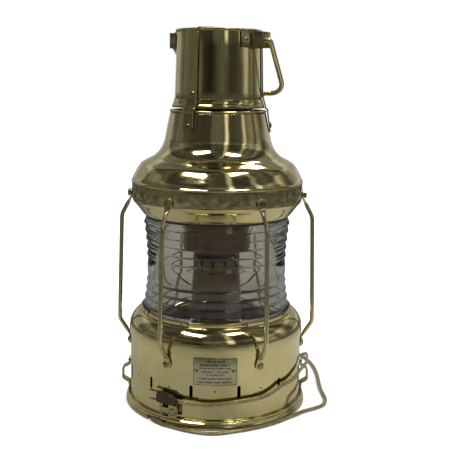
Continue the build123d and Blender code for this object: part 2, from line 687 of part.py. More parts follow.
flange_face = BRACKET_SEAT_R + BRACKET_T + 0.1
with BuildPart() as bracket_screws:
    radial_rods(bracket_screws_at, [BAIL_Z], 59, flange_face - 59, SCREW_R)
    domed_heads(bracket_screws_at, [BAIL_Z], flange_face, 3.1, 1.7)
keep(bracket_screws, "bracket_screws")

with BuildPart() as bail:
    with BuildLine(Plane(origin=(0, 0, BAIL_Z), x_dir=outward(BAIL_AROUND), z_dir=(0, 0, 1))) as wire:
        FilletPolyline(
            (BRACKET_OUT - 6.5, 0, 0), (PIVOT_HALF, 0, 0), (BAIL_HALF, BAIL_OUT, -BAIL_DROP),
            (-BAIL_HALF, BAIL_OUT, -BAIL_DROP), (-PIVOT_HALF, 0, 0), (6.5 - BRACKET_OUT, 0, 0),
            radius=[BAIL_ELBOW_R, BAIL_CORNER_R, BAIL_CORNER_R, BAIL_ELBOW_R],
        )
    with BuildSketch(Plane(origin=wire.line @ 0, z_dir=wire.line % 0)):
        Circle(BAIL_WIRE_R)
    sweep()
keep(bail, "bail")

# --- flex, coil, grommet and plug --------------------------------------------------------------
def on_drum(around, height, radius=137.6):
    spot = outward(around) * radius
    return (spot.X, spot.Y, height)


def beside_foot(around, radius):
    spot = outward(around) * radius
    return (spot.X, spot.Y, CORD_Z)


exit_point = exit_plane.origin + exit_direction * 14 + Vector(0, 0, CORD_Z)
lead_route = [
    (exit_point.X, exit_point.Y, CORD_Z), beside_foot(-24, 143.6), beside_foot(-14, 147.6),
    beside_foot(-5.5, 152), beside_foot(1.5, 152), beside_foot(9, 146.6), beside_foot(18, 143.6),
    beside_foot(27.5, 142.2), beside_foot(37.5, 141.6), beside_foot(47, 141.4), (116.5, -84, CORD_Z),
    (133.5, -67, CORD_Z), (150.5, -57, CORD_Z), (164, -45.5, CORD_Z), (170.5, -31, CORD_Z),
    (172, -15, CORD_Z), (170, 2, CORD_Z), (168.6, 22, CORD_Z), (169, 46, CORD_Z), (171, 73, CORD_Z),
    (171.5, 103, CORD_Z), (168.5, 139, CORD_Z), (160, 176, CORD_Z), (140, 207, CORD_Z),
    (106, 229, CORD_Z), (66, COIL_Y + COIL_R + 2.5, CORD_Z), (COIL_X, COIL_Y + COIL_R + 3.3, CORD_Z),
]
plug_plane = facing(PLUG_AROUND, PLUG_R, PLUG_Z).rotated((0, 0, PLUG_TILT))
plug_tail = plug_plane.from_local_coords((PLUG_LENGTH / 2 + 8, 0, 0))
plug_ahead = plug_plane.from_local_coords((PLUG_LENGTH / 2 + 25, 0, 0))
return_route = [
    (COIL_X, COIL_Y - COIL_R - 3.3, 8.6), (64, COIL_Y - COIL_R - 2.0, 7.5), (95, 152, 6.5), (118, 130, 12),
    (134, 102, 26), (143, 72, 42), (146, 42, 55), (145.5, 14, 60.5), (142.5, -14, 61.5),
    on_drum(76.5, 59.5, 139), on_drum(68.5, 60.5), on_drum(61, 56.2), on_drum(53.5, 53.4),
    on_drum(46, 54.6), on_drum(40, 49.4), on_drum(33, 44.6), on_drum(25, 42.9), on_drum(16, 42.2),
    on_drum(7, 40.2), on_drum(-4, 38.2), (plug_ahead.X, plug_ahead.Y, plug_ahead.Z),
    (plug_tail.X, plug_tail.Y, plug_tail.Z),
]


def corner_radii(route):
    """Each corner's arc takes 0.45 of the shorter of its two runs."""
    radii = []
    for before, corner, after in zip(route, route[1:], route[2:]):
        arriving = Vector(*corner) - Vector(*before)
        leaving = Vector(*after) - Vector(*corner)
        turn = arriving.get_angle(leaving)
        radii.append(0.45 * min(arriving.length, leaving.length) / tan(radians(turn / 2)))
    return radii


for name, route in (("cord_lead", lead_route), ("cord_return", return_route)):
    radii = corner_radii(route)
    print(name, "radii", [round(radius) for radius in radii])
    with BuildPart() as cord:
        with BuildLine() as path:
            FilletPolyline(*route, radius=radii)
        with BuildSketch(Plane(origin=path.line @ 0, z_dir=path.line % 0)):
            Circle(CORD_R)
        sweep()
    length = sum(edge.length for edge in path.line.edges())
    ratio = cord.part.volume / (pi * CORD_R ** 2 * length)
    print(name, "length", round(length), "volume ratio", round(ratio, 3))
    keep(cord, name)

with BuildPart() as cord_coil:
    with BuildSketch(Plane.XY.offset(0.1)):
        with Locations((COIL_X, COIL_Y)):
            Circle(COIL_R + COIL_HALF_W)
            Circle(COIL_R - COIL_HALF_W, mode=Mode.SUBTRACT)
    extrude(amount=COIL_TOP - 0.1)
    fillet(cord_coil.edges().group_by(Axis.Z)[-1], 2.5)
keep(cord_coil, "cord_coil")

grommet_plane = exit_plane.offset(CORD_Z)
with BuildPart() as cord_grommet:
    with Locations(grommet_plane):
        with Locations((-2, 0, 1.7)):
            Box(14, 10.6, 5.2)
    with BuildSketch(grommet_plane.rotated((0, 90, 0)).offset(4.9)) as thick:
        Circle(4.3)
    with BuildSketch(grommet_plane.rotated((0, 90, 0)).offset(14)) as thin:
        Circle(3.4)
    loft()
    with BuildSketch(Plane.XY.offset(0.1)):
        with Locations((exit_plane.origin.X, exit_plane.origin.Y)):
            Rectangle(120, 120)
    extrude(amount=-20, mode=Mode.SUBTRACT)
keep(cord_grommet, "cord_grommet")

with BuildPart() as plug_body:
    with BuildSketch(plug_plane):
        with BuildLine():
            Polyline(
                (-PLUG_LENGTH / 2, -PLUG_H / 2), (PLUG_LENGTH / 2 - 8, -PLUG_H / 2), (PLUG_LENGTH / 2, -4),
                (PLUG_LENGTH / 2 + 8, -3.2), (PLUG_LENGTH / 2 + 8, 3.2), (PLUG_LENGTH / 2, 4),
                (PLUG_LENGTH / 2 - 8, PLUG_H / 2), (-PLUG_LENGTH / 2, PLUG_H / 2), close=True,
            )
        make_face()
    extrude(amount=PLUG_THICK / 2, both=True)
    with BuildSketch(Plane(origin=plug_plane.origin, x_dir=plug_plane.x_dir, z_dir=plug_plane.y_dir)):
        with BuildLine():
            Polyline(
                (-PLUG_LENGTH / 2, -PLUG_THICK / 2), (PLUG_LENGTH / 2 - 4, -PLUG_THICK / 2),
                (PLUG_LENGTH / 2 + 8, -3.2), (PLUG_LENGTH / 2 + 8, 3.2),
                (PLUG_LENGTH / 2 - 4, PLUG_THICK / 2), (-PLUG_LENGTH / 2, PLUG_THICK / 2), close=True,
            )
        make_face()
    extrude(amount=PLUG_H, both=True, mode=Mode.INTERSECT)
keep(plug_body, "plug_body")

with BuildPart() as plug_prongs:
    for side in (-1, 1):
        with Locations(plug_plane * Pos(-PLUG_LENGTH / 2, side * PRONG_SPACING / 2, 0)):
            Box(PRONG_LENGTH, 1.6, 6.4, align=(Align.MAX, Align.CENTER, Align.CENTER))
        with Locations(plug_plane * Pos(3.5 - PLUG_LENGTH / 2 - PRONG_LENGTH, side * PRONG_SPACING / 2, 0) * Rot(90, 0, 0)):
            Cylinder(1.5, 6, mode=Mode.SUBTRACT)
keep(plug_prongs, "plug_prongs")
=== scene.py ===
from math import atan2, ceil, copysign, cos, hypot, pi, radians, sin, sqrt, tan

import bmesh
import bpy
from mathutils import Matrix, Vector


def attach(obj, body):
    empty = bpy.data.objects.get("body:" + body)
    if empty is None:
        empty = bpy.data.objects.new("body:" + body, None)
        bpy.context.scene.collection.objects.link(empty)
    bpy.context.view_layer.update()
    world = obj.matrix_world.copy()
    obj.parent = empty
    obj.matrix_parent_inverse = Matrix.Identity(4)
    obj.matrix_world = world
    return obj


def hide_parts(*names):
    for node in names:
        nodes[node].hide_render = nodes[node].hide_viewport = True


# Ship lantern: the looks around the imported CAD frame.
# Lengths below are in millimetres and become metres through MM. "Around" is in degrees about +Z,
# from the front (-Y) towards +X, as in the CAD source.

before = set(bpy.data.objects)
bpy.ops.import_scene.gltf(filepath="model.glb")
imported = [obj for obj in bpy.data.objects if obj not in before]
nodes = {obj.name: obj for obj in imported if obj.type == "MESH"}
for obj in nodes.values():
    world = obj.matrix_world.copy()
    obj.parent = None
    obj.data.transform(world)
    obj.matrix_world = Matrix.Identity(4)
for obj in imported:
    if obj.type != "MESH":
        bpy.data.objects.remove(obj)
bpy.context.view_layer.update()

MM = 0.001
SEGMENTS = 288


# --- places ---
def outward(around):
    return Vector((sin(radians(around)), -cos(radians(around)), 0.0))


def facing(around, radius, height):
    """Matrix whose local z points straight out of the wall, local y up, in metres."""
    out = outward(around)
    side = Vector((0, 0, 1)).cross(out)
    turn = Matrix((side, (0, 0, 1), out)).transposed().to_4x4()
    return Matrix.Translation((out * radius + Vector((0, 0, height))) * MM) @ turn


# --- materials ---
class Nodes:
    """A node tree under construction."""

    def __init__(self, tree, coordinates):
        self.tree = tree
        self.where = self.node("ShaderNodeTexCoord").outputs[coordinates]

    def node(self, kind, inputs=None, **settings):
        """A new node; inputs maps socket names or numbers to plain values or to outputs of other nodes."""
        made = self.tree.nodes.new(kind)
        for key, value in settings.items():
            setattr(made, key, value)
        for key, value in (inputs or {}).items():
            if hasattr(value, "is_output"):
                self.link(value, made.inputs[key])
            else:
                made.inputs[key].default_value = value
        return made

    def link(self, source, target):
        self.tree.links.new(source, target)

    def stretched(self, scale):
        """Object coordinates stretched by a scale for each axis."""
        return self.node("ShaderNodeMapping", {"Scale": scale, "Vector": self.where}).outputs["Vector"]

    def noise(self, scale, detail=3.0, roughness=0.5, where=None, distortion=0.0):
        return self.node("ShaderNodeTexNoise", {
            "Scale": scale, "Detail": detail, "Roughness": roughness, "Distortion": distortion,
            "Vector": where or self.where}).outputs["Fac"]

    def bands(self, scale, distortion, way):
        fed = {"Scale": scale, "Distortion": distortion, "Vector": self.where}
        return self.node("ShaderNodeTexWave", fed, wave_type="BANDS", bands_direction=way).outputs["Fac"]

    def spread(self, source, low, high, out_low=0.0, out_high=1.0):
        """The source's range from low to high, mapped to the out range."""
        return self.node("ShaderNodeMapRange", {
            "From Min": low, "From Max": high, "To Min": out_low, "To Max": out_high,
            "Value": source}).outputs[0]

    def ramp(self, source, *stops):
        """Stops are (position, value or colour)."""
        made = self.node("ShaderNodeValToRGB")
        elements = made.color_ramp.elements
        while len(elements) < len(stops):
            elements.new(0.5)
        for element, (position, value) in zip(elements, stops):
            element.position = position
            element.color = (value, value, value, 1) if isinstance(value, (int, float)) else (*value, 1)
        self.link(source, made.inputs["Fac"])
        return made.outputs["Color"]

    def mixed(self, factor, low, high):
        made = self.node("ShaderNodeMix", data_type="RGBA")
        for socket, value in ((made.inputs[0], factor), (made.inputs[6], low), (made.inputs[7], high)):
            if isinstance(value, (float, int)):
                socket.default_value = value if socket.type == "VALUE" else (value, value, value, 1)
            elif isinstance(value, tuple):
                socket.default_value = (*value, 1)
            else:
                self.link(value, socket)
        return made.outputs[2]


class Shader(Nodes):
    """A node material: one Principled shader and what feeds it."""

    def __init__(self, name):
        self.material = bpy.data.materials.new(name)
        self.material.use_nodes = True
        super().__init__(self.material.node_tree, "Object")
        self.main = self.tree.nodes["Principled BSDF"]

    def bump(self, source, strength, distance, under=None):
        fed = {"Strength": strength, "Distance": distance, "Height": source}
        if under is not None:
            fed["Normal"] = under
        return self.node("ShaderNodeBump", fed).outputs["Normal"]

    def set(self, **values):
        for key, value in values.items():
            socket = self.main.inputs[key.replace("_", " ")]
            if hasattr(value, "is_output"):
                self.link(value, socket)
            elif isinstance(value, tuple):
                socket.default_value = (*value, 1)
            else:
                socket.default_value = value
        return self.material


def brass(name, light, dark, rough, dents=0.25, turned=0.15, soil=0.5):
    """Polished sheet or cast brass: tarnish clouds, fine turning marks, small dents and rubbed roughness."""
    s = Shader(name)
    clouds = s.noise(13.0, 6.0, 0.62, distortion=0.4)
    specks = s.noise(210.0, 4.0, 0.7)
    tarnish = s.ramp(clouds, (0.38, 0.0), (0.78, soil))
    spots = s.ramp(specks, (0.66, 0.0), (0.80, 0.8 * soil))
    tint = s.mixed(tarnish, light, dark)
    tint = s.mixed(spots, tint, dark)
    rubbed = s.noise(60.0, 5.0, 0.65, s.stretched((1, 1, 6)))
    roughness = s.ramp(rubbed, (0.30, rough * 0.55), (0.72, rough * 1.7))
    marks = s.bump(s.bands(140.0, 1.2, "Z"), turned, 0.00006)
    normal = s.bump(s.noise(24.0, 2.0, 0.45, s.stretched((1, 1, 0.35))), dents, 0.0035, marks)
    return s.set(Base_Color=tint, Metallic=1.0, Roughness=roughness, Normal=normal)


def glass(name, tint, ripple, ior=1.5):
    """Pressed glass with slight ripples and a haze of dust."""
    s = Shader(name)
    haze = s.ramp(s.noise(55.0, 5.0, 0.6), (0.40, 0.003), (0.85, 0.035))
    normal = s.bump(s.noise(26.0, 2.0, 0.4), ripple, 0.002)
    colour = s.mixed(s.ramp(s.noise(9.0), (0.3, 0.0), (0.8, 1.0)), tint, tuple(0.94 * c for c in tint))
    return s.set(Base_Color=colour, Roughness=haze, IOR=ior, Transmission_Weight=1.0, Normal=normal)


def plastic(name, light, dark, rough, grain=0.1):
    """Moulded plastic or rubber with fine grain and slight colour change."""
    s = Shader(name)
    tint = s.mixed(s.ramp(s.noise(40.0, 4.0), (0.3, 0.0), (0.75, 1.0)), light, dark)
    roughness = s.ramp(s.noise(160.0, 3.0), (0.3, rough * 0.8), (0.75, min(1.0, rough * 1.25)))
    normal = s.bump(s.noise(900.0, 2.0), grain, 0.0002)
    return s.set(Base_Color=tint, Roughness=roughness, Normal=normal, Specular_IOR_Level=0.25)


def clear_flex(name):
    """Clear gold vinyl over copper strands: slanting strand lines under a glossy coat."""
    s = Shader(name)
    strands = s.bands(260.0, 2.0, "DIAGONAL")
    tint = s.mixed(strands, (0.22, 0.18, 0.06), (0.09, 0.07, 0.02))
    tint = s.mixed(s.ramp(s.noise(30.0), (0.3, 0.0), (0.8, 0.7)), tint, (0.30, 0.26, 0.12))
    normal = s.bump(strands, 0.15, 0.0003)
    roughness = s.ramp(s.noise(90.0), (0.3, 0.18), (0.8, 0.34))
    return s.set(Base_Color=tint, Metallic=0.45, Roughness=roughness, Normal=normal, Coat_Weight=0.5,
                 Coat_Roughness=0.08)


SPUN = brass("spun_brass", (0.62, 0.54, 0.26), (0.33, 0.26, 0.09), 0.085)
DRUM = brass("drum_brass", (0.66, 0.58, 0.28), (0.36, 0.28, 0.11), 0.10, dents=0.3)
CAST = brass("cast_brass", (0.42, 0.36, 0.17), (0.18, 0.13, 0.05), 0.16, dents=0.5, turned=0.05)
ROD = brass("rod_brass", (0.60, 0.54, 0.29), (0.30, 0.24, 0.10), 0.15, dents=0.2, turned=0.05)
BOLT = brass("bolt_brass", (0.38, 0.32, 0.15), (0.13, 0.10, 0.04), 0.2, dents=0.3, turned=0.0, soil=0.9)
# Nearly black brass for the font, inner flue and smoke baffle. It is tarnish plus painted shade: a darkened
# copy of the brass that stands in for the shade deep inside the lantern.
SOOT_AND_SHADE = brass("sooty_brass_and_painted_shade", (0.13, 0.095, 0.04), (0.04, 0.028, 0.012), 0.18, dents=0.3, soil=0.9)
# A darkened copy of the brass for the burner tube, crown and base tray: painted shade for parts inside the
# lantern.
INNER_SHADE = brass("inner_brass_painted_shade", (0.20, 0.15, 0.06), (0.06, 0.04, 0.015), 0.16, dents=0.3, soil=0.8)
LENS = glass("lens_glass", (0.94, 0.93, 0.82), 0.25)
BULB = glass("bulb_glass", (0.97, 0.97, 0.95), 0.1, 1.3)
RUBBER = plastic("gasket_rubber", (0.030, 0.026, 0.022), (0.012, 0.010, 0.008), 0.6, 0.3)
PHENOLIC = plastic("black_phenolic", (0.030, 0.024, 0.018), (0.012, 0.009, 0.006), 0.35, 0.1)
PLUG = plastic("plug_plastic", (0.030, 0.016, 0.010), (0.014, 0.008, 0.005), 0.42, 0.15)
RELIEF = plastic("relief_vinyl", (0.11, 0.085, 0.04), (0.05, 0.04, 0.02), 0.35, 0.1)
FLEX = clear_flex("gold_flex")


# --- mesh helpers ---
def crisp(mesh, angle=32.0):
    """Smooth shading with sharp edges where faces turn by more than the angle."""
    shape = bmesh.new()
    shape.from_mesh(mesh)
    bmesh.ops.recalc_face_normals(shape, faces=shape.faces)
    for face in shape.faces:
        face.smooth = True
    for edge in shape.edges:
        edge.smooth = len(edge.link_faces) == 2 and edge.calc_face_angle() < radians(angle)
    shape.to_mesh(mesh)
    shape.free()


def piece(name, verts, faces, material, body, slot, stands_for=(), angle=32.0):
    """Makes one object of the visual model and says what it rides on and replaces."""
    mesh = bpy.data.meshes.new(name)
    mesh.from_pydata([tuple(v) for v in verts], [], faces)
    mesh.validate()
    crisp(mesh, angle)
    mesh.materials.append(material)
    made = bpy.data.objects.new(name, mesh)
    bpy.context.scene.collection.objects.link(made)
    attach(made, body)
    if stands_for:
        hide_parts(*stands_for)
    return made


def shifted(points, depth):
    """The same open outline, moved to the left of its travel by depth."""
    moved = []
    last = len(points) - 1
    for i, point in enumerate(points):
        before, after = points[max(i - 1, 0)], points[min(i + 1, last)]
        run = (after[0] - before[0], after[1] - before[1])
        length = hypot(*run)
        moved.append((point[0] - depth * run[1] / length, point[1] + depth * run[0] / length))
    return moved


def flowing(points, steps=7):
    """A smooth Catmull-Rom curve through the points."""
    ends = [tuple(2 * a - b for a, b in zip(points[0], points[1]))]
    tail = [tuple(2 * a - b for a, b in zip(points[-1], points[-2]))]
    guide = ends + list(points) + tail
    curve = []
    for a, b, c, d in zip(guide, guide[1:], guide[2:], guide[3:]):
        for k in range(steps):
            t = k / steps
            curve.append(tuple(
                0.5 * (2 * q + (r - p) * t + (2 * p - 5 * q + 4 * r - s) * t * t
                       + (3 * q - p - 3 * r + s) * t ** 3)
                for p, q, r, s in zip(a, b, c, d)
            ))
    return curve + [points[-1]]


def eased(loop, size, closed=True, steps=4):
    """Rounds the corners of an outline with small arcs."""
    soft = []
    count = len(loop)
    for i, corner in enumerate(loop):
        if not closed and i in (0, count - 1):
            soft.append(corner)
            continue
        here = Vector(corner)
        back = Vector(loop[i - 1]) - here
        ahead = Vector(loop[(i + 1) % count]) - here
        turn = pi - back.angle(ahead)
        if turn < radians(14):
            soft.append(corner)
            continue
        reach = min(size * tan(turn / 2), 0.42 * back.length, 0.42 * ahead.length)
        start, end = here + back.normalized() * reach, here + ahead.normalized() * reach
        for k in range(steps + 1):
            t = k / steps
            soft.append(tuple(start * (1 - t) ** 2 + here * 2 * t * (1 - t) + end * t * t))
    return soft


def sheet_loop(points, depth, edge=0.4):
    """Closed section of a bent sheet whose outer face runs through the points."""
    return eased(list(points) + shifted(points, depth)[::-1], edge)


def cut(target, cutters):
    """Cuts box or slot shaped openings, given as (verts, faces) in metres, out of a piece."""
    verts, faces = merged(cutters)
    mesh = bpy.data.meshes.new("cutter")
    mesh.from_pydata([tuple(v) for v in verts], [], faces)
    crisp(mesh)
    tool = bpy.data.objects.new("cutter", mesh)
    bpy.context.scene.collection.objects.link(tool)
    modifier = target.modifiers.new("cut", "BOOLEAN")
    modifier.operation = "DIFFERENCE"
    modifier.object = tool
    bpy.context.view_layer.update()
    evaluated = target.evaluated_get(bpy.context.evaluated_depsgraph_get())
    result = bpy.data.meshes.new_from_object(evaluated)
    target.modifiers.clear()
    target.data = result
    bpy.data.objects.remove(tool)
    crisp(result, 30.0)


def loft(rings, capped=True, closed=False):
    """Skin over rings of equally many points, as (verts, faces)."""
    count = len(rings[0])
    faces = []
    for i in range(len(rings) if closed else len(rings) - 1):
        low, high = i * count, (i + 1) % len(rings) * count
        faces += [(low + k, low + (k + 1) % count, high + (k + 1) % count, high + k) for k in range(count)]
    if capped:
        faces.append(tuple(range(count)))
        faces.append(tuple((len(rings) - 1) * count + k for k in range(count))[::-1])
    return [point for ring in rings for point in ring], faces


def merged(shapes):
    """Several (verts, faces) shapes as one."""
    verts, faces = [], []
    for shape_verts, shape_faces in shapes:
        faces += [tuple(i + len(verts) for i in face) for face in shape_faces]
        verts += shape_verts
    return verts, faces


def circle(radius, sides, x=0.0, offset=0.0):
    turns = [2 * pi * (k + offset) / sides for k in range(sides)]
    return [(x + radius * cos(a), radius * sin(a)) for a in turns]


def prism(outline, place, near, far):
    """A straight prism over an outline in the local plane of a placing matrix, between two depths along z."""
    return loft([[place @ (Vector((x, y, depth)) * MM) for x, y in outline] for depth in (near, far)])


def slot_outline(length, width, steps=8):
    """Upright slot with round ends."""
    r, half = width / 2, (length - width) / 2
    top = [(r * cos(pi * k / steps), half + r * sin(pi * k / steps)) for k in range(steps + 1)]
    return top + [(-x, -y) for x, y in top]


def dome_profile(radius, height, skirt=0.5, steps=6):
    rim = [(radius, -0.2), (radius, skirt)]
    crown = [(radius * cos(pi / 2 * k / steps), skirt + (height - skirt) * sin(pi / 2 * k / steps))
             for k in range(1, steps)]
    return rim + crown + [(0.12 * radius, height)]


# --- camera ---
CAMERA_BACK = 1264.0
CAMERA_HIGH = 491.5
CAMERA_PITCH = 7.0
CAMERA_YAW = 0.70
CAMERA_ROLL = 0.74
FOCAL = 66.15
FRAMING_SHIFT = -0.0986

camera_data = bpy.data.cameras.new("camera")
camera_data.lens = FOCAL
camera_data.sensor_width = 36.0
camera_data.shift_y = FRAMING_SHIFT
camera_data.clip_end = 50.0
camera = bpy.data.objects.new("camera", camera_data)
camera.matrix_world = (
    Matrix.Translation(Vector((0, -CAMERA_BACK, CAMERA_HIGH)) * MM)
    @ Matrix.Rotation(radians(-CAMERA_YAW), 4, "Z")
    @ Matrix.Rotation(radians(90 - CAMERA_PITCH), 4, "X")
    @ Matrix.Rotation(radians(CAMERA_ROLL), 4, "Z")
)
bpy.context.scene.collection.objects.link(camera)
bpy.context.scene.camera = camera

# --- flex ---
CORD_Z = 2.7
CORD_WIDTH = 6.4
CORD_THICK = 3.3
EXIT_AROUND = -38.0
EXIT_TURN = 74.0
FOOT_R = 138.0
COIL_X, COIL_Y, COIL_R = 30.0, 196.0, 34.3
COIL_TURNS = 3.5
COIL_POINTS = 14
COIL_STEP = 3.3
UPPER_TURNS_Z = 8.6

PLUG_AROUND, PLUG_R, PLUG_Z, PLUG_TILT, PLUG_LENGTH = -30.5, 138.0, 41.0, -2.0, 27.0


def on_drum(around, height, radius=137.6):
    spot = outward(around) * radius
    return (spot.x, spot.y, height)


plug_place = facing(PLUG_AROUND, PLUG_R, PLUG_Z) @ Matrix.Rotation(radians(PLUG_TILT), 4, "Z")


def by_plug(along):
    return tuple((plug_place @ Vector((along * MM, 0, 0))) / MM)


exit_direction = outward(EXIT_AROUND + EXIT_TURN)
exit_point = outward(EXIT_AROUND) * (FOOT_R - 1.7) + exit_direction * 14 + Vector((0, 0, CORD_Z))


def beside_foot(around, radius):
    spot = outward(around) * radius
    return (spot.x, spot.y, CORD_Z)


lead_route = [
    tuple(exit_point), beside_foot(-24, 143.6), beside_foot(-14, 147.6), beside_foot(-5.5, 151.4),
    beside_foot(1.5, 151.4), beside_foot(9, 146.6), beside_foot(18, 143.6), beside_foot(27.5, 142.2),
    beside_foot(37.5, 141.6), beside_foot(47, 141.4), (116.5, -84, CORD_Z), (133.5, -67, CORD_Z),
    (150.5, -57, CORD_Z), (164, -45.5, CORD_Z), (169.9, -31, CORD_Z), (171.2, -15, CORD_Z),
    (169.6, 2, CORD_Z), (168.6, 22, CORD_Z), (169, 46, CORD_Z), (170.4, 73, CORD_Z), (170.8, 103, CORD_Z),
    (168.2, 139, CORD_Z), (160, 176, CORD_Z), (140, 207, CORD_Z), (106, 229, CORD_Z), (66, 232.8, CORD_Z),
]
return_route = [
    (64, 159.7, 7.5), (95, 152, 6.5), (118, 130, 12), (134, 102, 26), (143, 72, 42), (146, 42, 55),
    (145.5, 14, 60.5), (142.5, -14, 61.5), on_drum(76.5, 59.5, 139), on_drum(68.5, 60.5), on_drum(61, 56.2),
    on_drum(53.5, 53.4), on_drum(46, 54.6), on_drum(40, 49.4), on_drum(33, 44.6), on_drum(25, 42.9),
    on_drum(16, 42.2), on_drum(7, 40.2), on_drum(-4, 38.2), by_plug(PLUG_LENGTH / 2 + 25),
    by_plug(PLUG_LENGTH / 2 + 8),
]


def eased_step(x, start, end):
    t = min(1.0, max(0.0, (x - start) / (end - start)))
    return t * t * (3 - 2 * t)


def coil_points():
    """Outer turn, inner turn, then the same two on top, each change spread over a quarter turn."""
    points = []
    for i in range(int(COIL_TURNS * COIL_POINTS) + 1):
        turns = i / COIL_POINTS
        inner = eased_step(turns, 0.85, 1.1) - eased_step(turns, 2.85, 3.1)
        radius = COIL_R + COIL_STEP - 2 * COIL_STEP * inner
        height = CORD_Z + (UPPER_TURNS_Z - CORD_Z) * eased_step(turns, 1.85, 2.1)
        a = pi / 2 + 2 * pi * turns
        points.append((COIL_X + radius * cos(a), COIL_Y + radius * sin(a), height))
    return points


def nurbs_path(points, name):
    """The smooth line of a NURBS spline with these control points, in metres."""
    curve = bpy.data.curves.new(name, "CURVE")
    curve.dimensions = "3D"
    curve.resolution_u = 8
    spline = curve.splines.new("NURBS")
    spline.points.add(len(points) - 1)
    for control, point in zip(spline.points, points):
        control.co = (*(Vector(point) * MM), 1)
    spline.order_u = 3
    spline.use_endpoint_u = True
    carrier = bpy.data.objects.new(name, curve)
    line = bpy.data.meshes.new_from_object(carrier)
    path = [v.co.copy() for v in line.vertices]
    bpy.data.objects.remove(carrier)
    return path


def twin_section():
    """Figure-eight section of flat twin flex, as (across, through) in metres."""
    r = CORD_THICK / 2
    offset = CORD_WIDTH / 2 - r
    waist = 0.42 * r
    reach = sqrt(r * r - waist * waist) * 0.98
    right = []
    steps = 12
    start = pi - atan2(waist, reach)
    for k in range(steps + 1):
        a = start - 2 * start * k / steps
        right.append((offset + r * cos(a), r * sin(a)))
    left = [(-x, -y) for x, y in right]
    return [(x * MM, y * MM) for x, y in right + left]


def flat_cord(path):
    """Sweeps the flex section: flat on the table, and flat against the drum where it climbs."""
    section = twin_section()
    rings = []
    for i, point in enumerate(path):
        along = (path[min(i + 1, len(path) - 1)] - path[max(i - 1, 0)]).normalized()
        level = Vector((0, 0, 1)).cross(along).normalized()
        upright = along.cross(level)
        turn = eased_step(point.z, 0.014, 0.036) * pi / 2
        across = level * cos(turn) + upright * sin(turn)
        through = along.cross(across)
        rings.append([point + across * x + through * y for x, y in section])
    return loft(rings)


cord_path = nurbs_path(lead_route + coil_points() + return_route, "flex_line")
flex = piece("power_flex", *flat_cord(cord_path), FLEX, "lantern", "flex",
             ["cord_lead", "cord_coil", "cord_return"], 60.0)


def rounded_off(solid, width, angle):
    """Bevels the sharp edges of a bmesh and gives it back as (verts, faces)."""
    edges = [e for e in solid.edges if len(e.link_faces) == 2 and e.calc_face_angle() > radians(angle)]
    bmesh.ops.bevel(solid, geom=edges, offset=width * MM, segments=2, profile=0.6, affect="EDGES",
                    clamp_overlap=True)
    solid.verts.index_update()
    verts = [v.co.copy() for v in solid.verts]
    faces = [tuple(v.index for v in face.verts) for face in solid.faces]
    solid.free()
    return verts, faces


def bevelled(shape, width):
    """The shape with its sharp edges rounded off."""
    mesh = bpy.data.meshes.new("soft")
    mesh.from_pydata([tuple(v) for v in shape[0]], [], shape[1])
    solid = bmesh.new()
    solid.from_mesh(mesh)
    bpy.data.meshes.remove(mesh)
    bmesh.ops.recalc_face_normals(solid, faces=solid.faces)
    return rounded_off(solid, width, 35)


def softened(name, material, slot, body="lantern", width=0.3):
    """A CAD node with its sharp edges rounded off."""
    node = nodes[name]
    solid = bmesh.new()
    solid.from_mesh(node.data)
    solid.transform(node.matrix_world)
    bmesh.ops.remove_doubles(solid, verts=solid.verts, dist=1e-6)
    bmesh.ops.dissolve_limit(solid, angle_limit=radians(0.5), verts=solid.verts, edges=solid.edges)
    return piece(name + "_skin", *rounded_off(solid, width, 40), material, body, slot, [name], 30.0)


def filleted(points, radii, steps=10):
    """A line of straight runs joined by tangent arcs."""
    line = [Vector(points[0])]
    for before, corner, after, radius in zip(points, points[1:], points[2:], radii):
        corner = Vector(corner)
        back, ahead = (Vector(before) - corner).normalized(), (Vector(after) - corner).normalized()
        turn = pi - back.angle(ahead)
        reach = radius * tan(turn / 2)
        start = corner + back * reach
        centre = corner + (back + ahead).normalized() * (radius / cos(turn / 2))
        spoke = start - centre
        end_spoke = corner + ahead * reach - centre
        for k in range(steps + 1):
            share = k / steps
            swing = (spoke * sin((1 - share) * turn) + end_spoke * sin(share * turn)) / sin(turn)
            line.append(centre + swing)
    line.append(Vector(points[-1]))
    return line


def resampled(line, pitch):
    """Points along a line, about a pitch apart, its own corners kept."""
    fine = []
    for a, b in zip(line, line[1:]):
        parts = max(1, ceil((Vector(b) - Vector(a)).length / pitch))
        fine += [Vector(a).lerp(Vector(b), k / parts) for k in range(parts)]
    return fine + [Vector(line[-1])]


def in_radial_plane(around):
    """Maps (radius, height, across) to metres."""
    out = outward(around)
    across = Vector((0, 0, 1)).cross(out)
    return lambda r, z, a: (out * r + across * a + Vector((0, 0, z))) * MM


def strip(around, line, half_width, thickness, side, round_start=0.0, round_end=0.0, edge=0.4):
    """A strip of plate bent along a line of (radius, height), its ends rounded."""
    place = in_radial_plane(around)
    fine = resampled(line, 0.7)
    lengths = [0.0]
    for a, b in zip(fine, fine[1:]):
        lengths.append(lengths[-1] + (b - a).length)
    total = lengths[-1]
    rings = []
    for i, (point, s) in enumerate(zip(fine, lengths)):
        run = (fine[min(i + 1, len(fine) - 1)] - fine[max(i - 1, 0)]).normalized()
        normal = Vector((-run.y, run.x)) * side
        w = half_width
        for radius, distance in ((round_start, s), (round_end, total - s)):
            if radius and distance < radius:
                w = min(w, half_width - radius + sqrt(max(0.0, radius ** 2 - (radius - distance) ** 2)))
        w = max(w, 0.5)
        e = min(edge, w * 0.5)
        section = [(-w, e), (-w, thickness - e), (-w + e, thickness), (w - e, thickness),
                   (w, thickness - e), (w, e), (w - e, 0), (-w + e, 0)]
        spots = [(point + normal * o, a) for a, o in section]
        rings.append([place(spot.x, spot.y, a) for spot, a in spots])
    return loft(rings)


